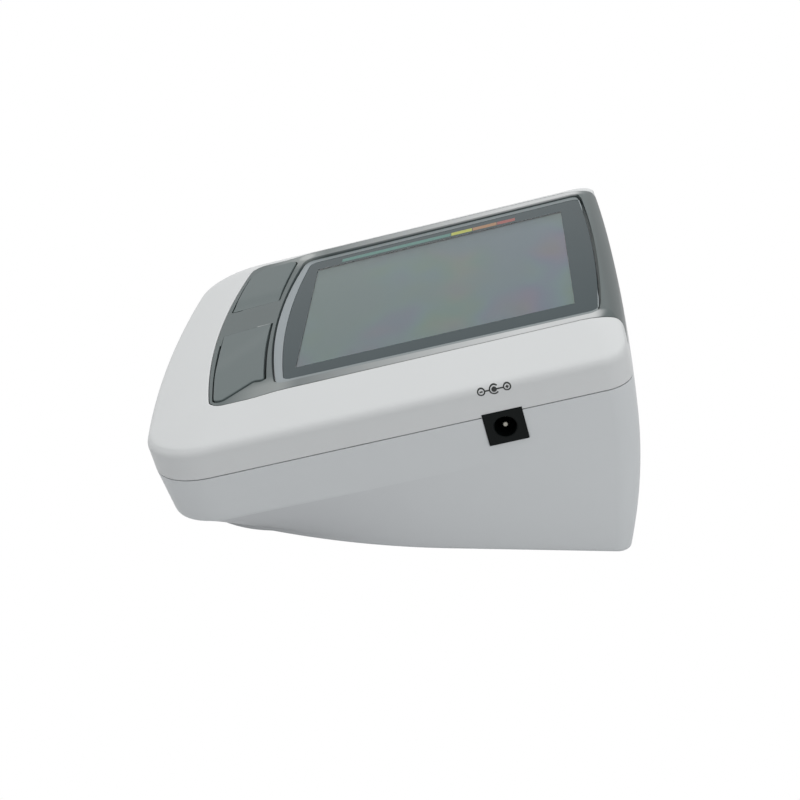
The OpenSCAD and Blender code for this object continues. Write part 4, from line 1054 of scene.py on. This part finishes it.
def lower_form(name, inset, floor_z, seam_level, gap=0.0):
    """The lower case's tray and plinth, as one solid set in by inset; gap leaves a seam line."""
    low_w = CREASE_W + inset / 2
    rear_from = sum(OUTLINE_COUNTS[:3])
    steps = 14

    def near_crease(w, cut):
        """The tray's outline near the crease, whose rounding fades towards the back."""
        out = []
        for (x, v), (rx, rv) in zip(tray_half(w, inset), tray_half(w, inset, cut)):
            k = mix(0.08, 1, smooth((12 - v) / 34))
            out.append(tuple(face(mix(x, rx, k), mix(v, rv, k), w) / MM))
        return out

    crease = near_crease(low_w, 0.5)
    edge = [(x, y, floor_z + BASE_EDGE) for x, y in base_half(inset)]
    rings = []
    for cut, up in ((0.9, 0.0), (0.6, 0.06), (0.4, 0.18), (0.22, 0.36), (0.1, 0.6), (0.03, 1.0)):
        rings.append([(x, y, floor_z + up) for x, y in base_half(inset + cut)])
    rings.append(edge)
    for k in range(steps - 1, 0, -1):
        t = k / steps
        ring = []
        for i, (a, b) in enumerate(zip(crease, edge)):
            p = [mix(a[j], b[j], t) for j in range(3)]
            share = 0 if i < rear_from else min(1, (i - rear_from) / 10)
            p[1] += share * (back_y(p[2]) - mix(back_y(a[2]), back_y(b[2]), t))
            ring.append(tuple(p))
        rings.append(ring)
    rings.append(crease)
    for k, cut in ((0.12, 0.3), (0.35, 0.13), (0.8, 0.02)):
        rings.append(near_crease(low_w + k, cut))
    for t in (0.1, 0.3, 0.5, 0.7, 0.9, 1.0):
        w = mix(low_w + 0.8, seam_level - gap, t)
        rings.append([tuple(face(x, v, w) / MM) for x, v in tray_half(w, inset)])
    if gap:
        for w in (seam_level - gap, seam_level):
            rings.append([tuple(face(x, v, w) / MM) for x, v in tray_half(w, inset + 1.1)])
    return skin(name, [[Vector(p) * MM for p in whole(ring)] for ring in rings])


def battery_bay(door_low, door_high):
    """The walls round the cells and the rails that the door slides on."""
    back = REAR_Y - 8.5
    front = back - BAY_LENGTH
    bay = block("bay", (-BAY_HW - BAY_WALL, front - BAY_WALL, INNER_FLOOR),
                (BAY_HW + BAY_WALL, back + BAY_WALL, BAY_TOP + BAY_WALL), False)
    combine(bay, [block("bay_room", (-BAY_HW, front, 0), (BAY_HW, back, BAY_TOP), False)])
    pieces = [bay]
    rail_top = 4.6
    for side in (-1, 1):
        left, right = sorted((side * BAY_HW, side * (door_high.x + 2.2)))
        pieces.append(block("rail", (left, door_low.y, INNER_FLOOR),
                            (right, back + BAY_WALL, rail_top), False))
    return pieces


def pump_saddles():
    """Two saddles that the pump lies in, in its cradle."""
    saddles = []
    for y in (17.8, 33.8):
        saddle = block("saddle", (MOTOR_X - 10, y, INNER_FLOOR), (MOTOR_X + 10, y + 4, 9.4), False)
        hollow = turned("hollow", [(0, CRADLE_R), (6, CRADLE_R)], Vector((MOTOR_X, y - 1, MOTOR_Z)) * MM,
                        (0, 1, 0), 64)
        saddles.append(combine(saddle, [hollow]))
    return saddles


def lower_openings(door_low, door_high):
    """The cutters for the door, both inlets, the screws and the feet."""
    gap, far = 0.25, REAR_Y + 5
    tongue = 1.4
    dx = door_high.x - tongue
    socket_start = face(-CASE_HW - 1.2, *SOCKET)
    cutters = [
        block("door_room", (-dx - gap, door_low.y - gap, 0), (dx + gap, far, door_high.z + gap), False),
        block("door_groove", (-dx - tongue - gap, door_low.y - gap, 1.6 - gap),
              (dx + tongue + gap, far, door_high.z + gap), False),
        inlet_room(),
        turned("socket_room", [(0, 5.3), (8, 5.3)], socket_start, (1, 0, 0), 64),
        turned("socket_bore", [(0, 3.9), (14, 3.9)], socket_start, (1, 0, 0), 48),
    ]
    for x, y in SCREWS:
        start = Vector((x, y, -1)) * MM
        seat = seam_z(y) - SCREW_DROP + 1
        cutters.append(turned("bore", [(0, 1.65), (seam_z(y) + 11, 1.65)], start, (0, 0, 1), 24))
        head_room = [(0, 3.15), (1.8, 3.15), (2.1, 2.85), (seat, 2.85)]
        cutters.append(turned("seat", head_room, start, (0, 0, 1), 40))
    for name in FEET:
        low, high = (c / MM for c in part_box(name))
        middle = Vector(((low.x + high.x) / 2, (low.y + high.y) / 2, -1)) * MM
        cutters.append(turned("seat", [(0, FOOT_R + 0.1), (2.8, FOOT_R + 0.1)], middle, (0, 0, 1), 48))
    return cutters


class MONITOR_OT_lower_case(bpy.types.Operator):
    """Build the lower half of the case, with the battery bay and the screw posts"""
    bl_idname = "monitor.lower_case"
    bl_label = "Lower case"

    def execute(self, context):
        door = [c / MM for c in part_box("battery_door")]
        seam = context.scene.monitor_case.seam / MM
        top_w = SEAM_W - 0.03
        shell = lower_form("case_lower", 0, BASE_Z, top_w, seam)
        combine(shell, [lower_form("room", WALL, BASE_Z + WALL, SEAM_W + 3)])
        inner = battery_bay(*door) + pump_saddles()
        bound = lower_form("bound", WALL / 2, BASE_Z + WALL / 2, SEAM_W)
        inner += [slanted_post("post", x, y, 4.4, INNER_FLOOR, top_w) for x, y in SCREWS]
        keep_inside(inner, bound)
        combine(shell, inner, "UNION")
        combine(shell, lower_openings(*door))
        polish(shell)
        place(shell, "case", "case_white", material("case_white_low"), "lower_case")
        return {"FINISHED"}


def key_rooms(gap):
    """The slits round three sides of each key, and the seats of both keys at the web."""
    start = plate("start_room", grown(start_outline(), gap), -4, 3)
    web = [(-9, -27), (8, -27), (9.5, -25.4), (7.5, -24.6), (START_PIVOT + 0.9, -14),
           (START_PIVOT + 0.02, -10.5), (-9, -10.5)]
    combine(start, [plate("web", web, -6, 5)])
    memory = plate("memory_room", grown(memory_outline(), gap), -4, 3)
    web = [(MEMORY_PIVOT + 0.8, -22.6), (-8, -22.6), (-8, -10), (MEMORY_PIVOT - 0.02, -10)]
    combine(memory, [plate("web", web, -6, 5)])
    play = 0.06
    seats = [plate("seat", grown(outline, play), -4, 3) for outline in (start_outline(), memory_outline())]
    return [start, memory], seats


def part_of(outline, low, high):
    """A cutter through the face along a part of an outline, between two corners in plan."""
    return combine(plate("gap", outline, -4, 3), [block("part", low + (-6,), high + (6,))], "INTERSECT")


def lens_ledge():
    """A ledge of the console behind the lens, left at the foot of the gap there."""
    top, far = -1.25, 90
    ledge = block("ledge", (-43.3, 84, -5), (43.3, far, top))
    combine(ledge, [block("ledge_end", (-46.8, LENS_BACK - 0.85, -5), (46.8, far, top))], "UNION")
    return combine(ledge, [plate("lens_room", whole(lens_half(0.06)), -6, 3)])


class MONITOR_OT_console(bpy.types.Operator):
    """Build the grey console panel that wraps over the back edge"""
    bl_idname = "monitor.console"
    bl_label = "Console"

    def execute(self, context):
        key_gap = context.scene.monitor_console.key_gap / MM
        panel = outer_form("console")
        combine(panel, [console_zone(0.0, "zone")], "INTERSECT")
        levels = ((-4, 0.5), (0.55, 0.5), (1.3, 0.75), (3, 0.75))
        bezel_room = skin("bezel_room", [[face(x, v, w) for x, v in whole(bezel_half(g))] for w, g in levels],
                          "ngon")
        behind_start = part_of(grown(start_outline(), key_gap + 0.25), (START_PIVOT + 0.1, -12.4),
                               (START_TIP - 9.5, -8))
        behind_lens = part_of(whole(lens_half(0.95)), (-LENS_REAR_HW - 0.6, 84), (LENS_REAR_HW + 0.6, 90))
        for room in (bezel_room, behind_lens):
            combine(room, [lens_ledge()])
        slits, seats = key_rooms(key_gap)
        combine(panel, [bezel_room] + seats + [behind_start, behind_lens] + slits)
        polish(panel, 30)
        place(panel, "case", "console_grey", material("console_grey"), "console_panel")
        return {"FINISHED"}


def key_top(x, v, memory, gain):
    """Height of a key's top: it leaves the web's level at its hinge line and rises by gain."""
    if memory:
        away = MEMORY_PIVOT + 0.6 - x
    else:
        near, far = Vector((START_PIVOT, key_back(START_PIVOT))), Vector((18.0, key_front(18.0)))
        line = (far - near).normalized()
        away = (v - near.y) * line.x - (x - near.x) * line.y
    ramp = 9.0
    return TOP_W - dip(v, TOP_W) + gain * smooth(away / ramp)


def slice_mesh(bm, point, normal):
    bmesh.ops.bisect_plane(bm, geom=bm.verts[:] + bm.edges[:] + bm.faces[:], plane_co=point, plane_no=normal,
                           dist=1e-8)


def key_piece(name, outline, memory, gain):
    """A key's plate with rounded free edges and a top that rises from its hinge line."""
    if not turned_left(outline):
        outline = outline[::-1]
    key = plate(name, outline, -1.0, 0.0)
    bm = bmesh.new()
    bm.from_mesh(key.data)
    up = Vector((0, -SIN, COS))
    level = lambda p: (p.co / MM - Vector((0, FACE_Y, FACE_Z))).dot(up)
    on_hinge = lambda p: p.co.x / MM > MEMORY_PIVOT - 0.2 if memory else p.co.x / MM < START_PIVOT + 2.2
    cap = [f for f in bm.faces if all(level(p) > -0.01 for p in f.verts)]
    edges = [e for f in cap for e in f.edges if not all(on_hinge(p) for p in e.verts)]
    bmesh.ops.bevel(bm, geom=edges, offset=0.28 * MM, segments=4, profile=0.5, affect="EDGES")
    low, high = (MEMORY_TIP, MEMORY_PIVOT) if memory else (START_PIVOT, START_TIP)
    x = low + 0.8
    while x < high - 0.4:
        slice_mesh(bm, (x * MM, 0, 0), (1, 0, 0))
        x += 1.5
    for v in (-24, -22, -20, -18, -16, -14, -12.6):
        slice_mesh(bm, face(0, v, 0), (0, COS, SIN))
    for p in bm.verts:
        if level(p) > -0.5:
            v = (p.co.y / MM - FACE_Y) * COS + (p.co.z / MM - FACE_Z) * SIN
            p.co += up * key_top(p.co.x / MM, v, memory, gain) * MM
    bm.to_mesh(key.data)
    bm.free()
    return key


class MONITOR_OT_keys(bpy.types.Operator):
    """Build the start key and the memory key with their posts"""
    bl_idname = "monitor.keys"
    bl_label = "Keys"

    def execute(self, context):
        gain = context.scene.monitor_console.key_rise / MM
        stem_top = DECK_W - 1.3
        for name, outline, memory, x, body in (
                ("key_start", start_outline(), False, 25.5, "start_key"),
                ("key_memory", memory_outline(), True, -37.0, "memory_key")):
            key = key_piece(name, outline, memory, gain)
            post = turned("post", [(0, 2.0), (-0.9 - stem_top, 2.0)], face(x, -18.5, stem_top),
                          (0, -SIN, COS), 32)
            combine(key, [post], "UNION")
            polish(key, 28)
            node = "memory_button" if memory else "start_button"
            place(key, body, "key_grey", material("key_grey"), node)
        return {"FINISHED"}


class MONITOR_OT_display(bpy.types.Operator):
    """Build the lens, its bezel, the display glass and the coloured bar"""
    bl_idname = "monitor.display"
    bl_label = "Display"

    def execute(self, context):
        settings = context.scene.monitor_display
        edge = settings.edge / MM
        levels = ((0, DECK_TOP_W), (0, LENS_TOP_W - edge), (-edge * 0.3, LENS_TOP_W - edge * 0.3),
                  (-edge, LENS_TOP_W))
        lens = skin("lens", [[face(x, v, w) for x, v in whole(lens_half(g))] for g, w in levels], "ngon")
        pocket_w = LENS_TOP_W - 0.3
        half, front, back = WINDOW_ROOM
        combine(lens, [block("pocket", (-half, front, DECK_TOP_W - 1), (half, back, pocket_w))])
        polish(lens, 40)
        place(lens, "case", "lens", material("lens"), "display_lens")

        top = LENS_TOP_W + 0.1
        profile = [(bezel_half, 0, DECK_TOP_W), (bezel_half, 0, top - 0.12), (bezel_half, -0.04, top - 0.04),
                   (bezel_half, -0.12, top), (lens_half, 0.18, top), (lens_half, 0.1, top - 0.04),
                   (lens_half, 0.08, top - 0.12), (lens_half, 0.08, DECK_TOP_W)]
        bezel = skin("bezel", [[face(x, v, w) for x, v in whole(form(g))] for form, g, w in profile], "loop")
        combine(bezel, [block("end", (-60, LENS_BACK - 0.9, -9), (60, LENS_BACK + 40, 9))])
        polish(bezel, 30)
        place(bezel, "case", "bezel_grey", material("bezel_grey"), "display_bezel")

        glass_w = DECK_W - 0.1
        play = 0.2
        glass = block("glass", (-40, -3, glass_w - 2.8), (40, WINDOW[1] + 3, glass_w))
        raised = block("raised", (play - half, front + play, glass_w - 1),
                       (half - play, back - play, pocket_w - 0.05))
        combine(glass, [raised], "UNION")
        polish(glass, 30)
        place(glass, "case", "display", material("display"), "display_glass")

        middle, reach = settings.bar_x / MM, settings.bar_width / MM / 2
        bars = []
        for name, start, end in (("band_teal", 8, 44), ("band_yellow", 44.2, 51), ("band_orange", 51.2, 59),
                                 ("band_red", 59.2, 65)):
            bar = block(name, (middle - reach, start, LENS_TOP_W - 0.02),
                        (middle + reach, end, LENS_TOP_W + 0.012))
            bar.data.materials.append(material(name))
            bars.append(bar)
        place(merged("level_bar", bars), "case", "lens", None)
        return {"FINISHED"}


def decal(name, at, rows, columns):
    """A thin printed patch on the flank: at(s, t) gives its points' v and w for s and t from 0 to 1."""
    bm = bmesh.new()
    layers = []
    for out in (-0.05, 0.025):
        layer = []
        for i in range(rows + 1):
            line = []
            for k in range(columns + 1):
                v, w = at(i / rows, k / columns)
                line.append(bm.verts.new(face(upper_hw(w) + out, v, w)))
            layer.append(line)
        layers.append(layer)
    low, high = layers
    for i in range(rows):
        for k in range(columns):
            for g in layers:
                bm.faces.new((g[i][k], g[i + 1][k], g[i + 1][k + 1], g[i][k + 1]))
    for k in range(columns):
        for i in (0, rows):
            bm.faces.new((low[i][k], low[i][k + 1], high[i][k + 1], high[i][k]))
    for i in range(rows):
        for k in (0, columns):
            bm.faces.new((low[i][k], low[i + 1][k], high[i + 1][k], high[i][k]))
    return link(name, finish_mesh(bm, name))


def arc_mark(v, w, inner, outer, start=0.1, end=359.9):
    """A printed ring, or a part of one between two angles in degrees."""
    def at(s, t):
        a, r = math.radians(mix(start, end, t)), mix(inner, outer, s)
        return v + r * math.cos(a), w + r * math.sin(a)
    return decal("arc", at, 3, 40)


def bar_mark(v0, v1, w0, w1):
    """A printed bar between two corners."""
    return decal("bar", lambda s, t: (mix(v0, v1, t), mix(w0, w1, s)), 2, 6)


class MONITOR_OT_marks(bpy.types.Operator):
    """Print the polarity symbol above the power inlet"""
    bl_idname = "monitor.marks"
    bl_label = "Marks"

    def execute(self, context):
        v, w = 55.3, -5.5
        minus, plus = v - 3.45, v + 3.45
        line, sign = 0.19, 0.42
        marks = [arc_mark(minus, w, 0.72, 1.1), arc_mark(plus, w, 0.72, 1.1),
                 arc_mark(v, w, 1.0, 1.38, 42, 318), arc_mark(v, w, 0.02, 0.72),
                 bar_mark(minus - sign, minus + sign, w - line, w + line),
                 bar_mark(plus - sign, plus + sign, w - line, w + line),
                 bar_mark(plus - line, plus + line, w - sign, w + sign),
                 bar_mark(minus + 1.0, v - 1.3, w - line, w + line),
                 bar_mark(v + 0.6, plus - 1.0, w - line, w + line)]
        mark = merged("polarity_mark", marks)
        place(mark, "case", "label", material("ink"))
        return {"FINISHED"}


class MONITOR_OT_inlet(bpy.types.Operator):
    """Build the power inlet with its pin, and the cuff air socket"""
    bl_idname = "monitor.inlet"
    bl_label = "Inlets"

    def execute(self, context):
        v, w = INLET
        rim_x = CASE_HW + 0.2
        depth = 13.5
        half_v, half_w = (size / 2 for size in INLET_SIZE)
        body = block("inlet", (rim_x - depth, v - half_v, w - half_w), (rim_x, v + half_v, w + half_w))
        bore = turned("bore", [(0, 3.0), (9.2, 3.0), (9.5, 3.3), (10.5, 4.3)], face(rim_x - 9.5, v, w),
                      (1, 0, 0), 64)
        root = turned("root", [(0, 0.82), (14, 0.82)], face(rim_x - depth - 1, v, w), (1, 0, 0), 24)
        combine(body, [bore, root])
        polish(body, 30, bevel=0.18, segments=2)
        place(body, "case", "black_plastic", material("black_plastic"), "power_inlet")
        profile = [(0, 0.8), (4, 0.8), (4, 1.0), (11.5, 1.0), (11.85, 0.94), (12.15, 0.76), (12.35, 0.5),
                   (12.46, 0.25), (12.5, 0.04)]
        pin = turned("inlet_contact", profile, face(rim_x - depth, v, w), (1, 0, 0), 32)
        polish(pin, 30)
        place(pin, "case", "plated_pin", material("plated_pin"), "inlet_pin")

        profile = [(0, 5.2), (0.25, 5.2), (3.4, 5.2), (3.4, 3.8), (14, 3.8), (14, 1.35), (17, 1.35),
                   (17, 0.7), (11.0, 0.7), (11.0, 2.5), (0.35, 2.5), (0.0, 2.85)]
        socket = turned("socket", profile, face(-rim_x, *SOCKET), (1, 0, 0), 64, closed=False)
        polish(socket, 30)
        place(socket, "case", "socket_plastic", material("socket_plastic"), "air_socket")
        return {"FINISHED"}


class MONITOR_OT_base(bpy.types.Operator):
    """Build what shows from below: screws, feet and the battery door"""
    bl_idname = "monitor.base"
    bl_label = "Base"

    def execute(self, context):
        self.screws()
        self.feet()
        self.door()
        return {"FINISHED"}

    def screws(self):
        profile = [(-2.0, 2.0), (-1.8, 2.45), (-1.5, 2.55), (0, 2.55), (0, 1.45)]
        pitch, turns = 0.8, 26
        for k in range(turns):
            start = (k + 1) * pitch
            profile += [(start, 1.45), (start + 0.2, 1.45), (start + 0.4, 1.2), (start + 0.6, 1.2)]
        profile.append((21.9, 0.7))
        screw = turned("screw", profile, Vector((0, 0, 0)), (0, 0, 1), 28)
        arms = ((1.75, 0.28), (0.28, 1.75))
        combine(screw, [block("arm", (-x, -y, -3), (x, y, -1.0), False) for x, y in arms])
        polish(screw, 30)
        seats = [Vector((x, y, seam_z(y) - SCREW_DROP)) * MM for x, y in SCREWS]
        screws = repeat("case_fasteners", screw, seats, material("bright_steel"))
        place(screws, "case", "bright_steel", None, "case_screws")

    def feet(self):
        height = 1.8
        profile = [(0, FOOT_R - 0.9), (0.06, FOOT_R - 0.5), (0.2, FOOT_R - 0.2), (0.45, FOOT_R),
                   (height, FOOT_R)]
        foot = turned("foot", profile, Vector((0, 0, 0)), (0, 0, 1), 56)
        ring = [(-1, 2.9), (0.14, 2.9), (0.14, 2.3), (-1, 2.3)]
        dent = turned("dent", ring, Vector((0, 0, 0)), (0, 0, 1), 40, closed=False)
        combine(foot, [dent])
        polish(foot, 35)
        seats = []
        for low, high in (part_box(name) for name in FEET):
            seats.append(Vector(((low.x + high.x) / 2, (low.y + high.y) / 2, low.z)))
        feet = repeat("rubber_feet", foot, seats, material("black_rubber"))
        place(feet, "case", "black_rubber", None, *FEET)

    def door(self):
        low, high = (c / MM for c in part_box("battery_door"))
        tongue = 1.4
        dx = high.x - tongue
        door = block("door", (-dx, low.y, low.z), (dx, high.y, high.z), False)
        combine(door, [block("tongues", (-high.x, low.y, low.z + 0.7), (high.x, high.y - 6, high.z), False)],
                "UNION")
        groove = turned("groove", [(0, 0.55), (20, 0.55)], Vector((-10, 0, 0)) * MM, (1, 0, 0), 20)
        lines = [Vector((0, low.y + 5 + 2.0 * k, low.z - 0.22)) * MM for k in range(7)]
        grooves = repeat("grooves", groove, lines, None)
        corners = [(x, low.y + 22 + y) for x, y in ((-3, 4), (0, 0), (3, 4))]
        levels = (low.z - 1, low.z + 0.3)
        arrow = skin("arrow", [[Vector((x, y, z)) * MM for x, y in corners] for z in levels], "ngon")
        combine(door, [grooves, arrow])
        polish(door, 30, bevel=0.15, segments=2, limit=60)
        place(door, "door", "case_white", material("case_white_low"), "battery_door")


class MONITOR_OT_cells(bpy.types.Operator):
    """Build the four cells, each with a coloured sleeve round its positive end"""
    bl_idname = "monitor.cells"
    bl_label = "Cells"

    def execute(self, context):
        for i in range(4):
            node = f"battery_{i + 1}"
            low, high = (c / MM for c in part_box(node))
            r = (high.x - low.x) / 2
            first_end = (low.y, 1) if i % 2 == 0 else (high.y, -1)
            start = Vector(((low.x + high.x) / 2, first_end[0], (low.z + high.z) / 2)) * MM
            axis = (0, first_end[1], 0)
            profile = [(0, 5.2), (0, 6.0), (0.25, 6.5), (0.3, r - 0.25), (0.5, r), (48.5, r), (48.9, r - 0.3),
                       (49.05, r - 1.2), (49.1, 3.4), (49.1, 2.75), (50.0, 2.75), (50.2, 2.4)]
            cell = turned(f"cell_{i + 1}", profile, start, axis, 64)
            polish(cell, 35)
            cell.data.materials.clear()
            cell.data.materials.append(material("cell_jacket"))
            cell.data.materials.append(material("contact_steel"))
            for f in cell.data.polygons:
                radial = math.hypot(f.center.x - start.x, f.center.z - start.z) / MM
                f.material_index = int(radial < r - 1.3)
            profile = [(36, r + 0.02), (48.4, r + 0.02), (48.4, r - 0.05), (36, r - 0.05)]
            sleeve = turned("sleeve", profile, start, axis, 64, closed=False)
            sleeve.data.materials.append(material("cell_band"))
            dressed = merged(f"battery_cell_{i + 1}", [cell, sleeve])
            dressed.data.shade_smooth()
            dressed.data.set_sharp_from_angle(angle=math.radians(35))
            place(dressed, "case", "cell_jacket", None, node)
        return {"FINISHED"}


# The finish of each CAD piece that stays as it is
NODE_FINISH = {
    "display_reflector": "white_plastic", "display_holder": "white_plastic", "connector_strips": "elastomer",
    "main_board": "board", "board_chips": "black_plastic", "board_capacitors": "capacitor_can",
    "buzzer": "black_plastic", "key_switches": "switch_steel", "start_stem": "black_plastic",
    "memory_stem": "black_plastic", "pressure_sensor": "black_plastic", "air_manifold": "white_plastic",
    "pump_tube": "tube_silicone", "valve_tube": "tube_silicone", "sensor_tube": "tube_silicone",
    "socket_tube": "tube_silicone", "valve_body": "valve_steel", "valve_plunger": "bright_steel",
    "pump_motor": "motor_can", "motor_shaft": "bright_steel", "pump_crank": "white_plastic",
    "pump_head": "white_plastic", "pump_diaphragm": "black_rubber", "pump_cover": "white_plastic",
    "pump_cradle": "black_rubber", "battery_springs": "contact_steel", "battery_plates": "contact_steel",
    "board_screws": "bright_steel", "rating_label": "label", "motor_leads": "lead_red",
    "battery_leads": "lead_black",
}


class MONITOR_OT_inner(bpy.types.Operator):
    """Give the CAD pieces that stay, inside the case and below it, their finishes"""
    bl_idname = "monitor.inner"
    bl_label = "Inner pieces"

    def execute(self, context):
        for node, name in NODE_FINISH.items():
            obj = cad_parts[node]
            mat = material(name)
            if obj.material_slots:
                for slot in obj.material_slots:
                    slot.material = mat
            else:
                obj.data.materials.append(mat)
        return {"FINISHED"}


def camera_matrix():
    """Where the camera stands and how it is turned."""
    yaw, pitch, roll = math.radians(-2.408), math.radians(27.081), math.radians(-0.263)
    ahead = Vector((-math.cos(pitch) * math.cos(yaw), math.cos(pitch) * math.sin(yaw), -math.sin(pitch)))
    level = ahead.cross(Vector((0, 0, 1))).normalized()
    upright = level.cross(ahead)
    right = math.cos(roll) * level + math.sin(roll) * upright
    up = -math.sin(roll) * level + math.cos(roll) * upright
    rows = Matrix((right, up, -ahead)).transposed().to_4x4()
    rows.translation = Vector((423.47, 18.70, 230.46)) * MM
    return rows


class MONITOR_OT_stage(bpy.types.Operator):
    """Set the floor, the lights and the camera"""
    bl_idname = "monitor.stage"
    bl_label = "Stage"

    def execute(self, context):
        settings = context.scene.monitor_stage
        self.camera(context.scene, settings.lens)
        self.floor()
        self.sky(context.scene, settings.sky)
        self.lamps(settings.key)
        context.scene.view_settings.view_transform = "Standard"
        return {"FINISHED"}

    def camera(self, scene, lens):
        camera = bpy.data.cameras.new("camera")
        camera.lens = lens
        camera.sensor_width = 36
        camera.clip_start = 0.01
        eye = link("camera", camera)
        eye.matrix_world = camera_matrix()
        scene.camera = eye

    def floor(self):
        n = Nodes("floor")
        drift = n.noise(3.0, 2.0)
        pale = n.shader(n.mix(drift, srgb(203, 204, 206), srgb(209, 210, 211)), 0.9, specular=0.0)
        white = n.add("ShaderNodeEmission", {"Color": (1, 1, 1, 1), "Strength": 1.0})
        paint = n.end(n.add("ShaderNodeMixShader", {0: n.seen(), 1: pale.outputs[0], 2: white.outputs[0]}))
        reach = 3
        corners = [(-reach, -reach, 0), (reach, -reach, 0), (reach, reach, 0), (-reach, reach, 0)]
        mesh = bpy.data.meshes.new("floor")
        mesh.from_pydata(corners, [], [(0, 1, 2, 3)])
        mesh.materials.append(paint)
        floor = link("floor", mesh)
        floor.location.z = -0.2 * MM

    def sky(self, scene, level):
        world = bpy.data.worlds.new("sky")
        scene.world = world
        world.use_nodes = True
        n = Nodes("sky", world)
        even = n.add("ShaderNodeBackground", {"Color": (0.985, 0.99, 1.0, 1), "Strength": level})
        white = n.add("ShaderNodeBackground", {"Color": (1, 1, 1, 1), "Strength": 1.0})
        n.end(n.add("ShaderNodeMixShader", {0: n.seen(), 1: even.outputs[0], 2: white.outputs[0]}))

    def lamps(self, level):
        for name, where, aim, size, power in (
                ("above", (-0.1, 0.0, 0.95), (0, 0, 0.03), 0.9, 5.2),
                ("side", (0.9, 0.5, 0.5), (0, 0, 0.03), 0.5, 0.8),
                ("low", (0.3, 0.2, 0.05), (0.066, 0.07, 0.005), 0.1, 0.058)):
            lamp = bpy.data.lights.new(name, "AREA")
            lamp.shape = "SQUARE"
            lamp.size = size
            lamp.energy = power * level
            light = link(name, lamp)
            light.location = where
            light.visible_camera = light.visible_glossy = False
            light.rotation_euler = (Vector(aim) - Vector(where)).to_track_quat("-Z", "Y").to_euler()


class MONITOR_PT_panel(bpy.types.Panel):
    """Lists the builders and their settings"""
    bl_idname = "MONITOR_PT_panel"
    bl_label = "Blood pressure monitor"
    bl_space_type = "VIEW_3D"
    bl_region_type = "UI"
    bl_category = "Monitor"

    def draw(self, context):
        for operator in OPERATORS:
            self.layout.operator(operator.bl_idname)
        for group in SETTINGS:
            values = getattr(context.scene, group)
            for name in values.__annotations__:
                self.layout.prop(values, name)


OPERATORS = (MONITOR_OT_upper_case, MONITOR_OT_lower_case, MONITOR_OT_console, MONITOR_OT_keys,
             MONITOR_OT_display, MONITOR_OT_marks, MONITOR_OT_inlet, MONITOR_OT_base, MONITOR_OT_cells,
             MONITOR_OT_inner, MONITOR_OT_stage)
SETTINGS = {"monitor_case": CaseSettings, "monitor_console": ConsoleSettings,
            "monitor_display": DisplaySettings, "monitor_finish": FinishSettings,
            "monitor_stage": StageSettings}
CLASSES = tuple(SETTINGS.values()) + OPERATORS + (MONITOR_PT_panel,)


def register():
    for cls in CLASSES:
        bpy.utils.register_class(cls)
    for name, group in SETTINGS.items():
        setattr(bpy.types.Scene, name, bpy.props.PointerProperty(type=group))


def unregister():
    for name in SETTINGS:
        delattr(bpy.types.Scene, name)
    for cls in reversed(CLASSES):
        bpy.utils.unregister_class(cls)


def main():
    register()
    for operator in OPERATORS:
        getattr(bpy.ops.monitor, operator.bl_idname.split(".")[1])()


if __name__ == "__main__":
    main()
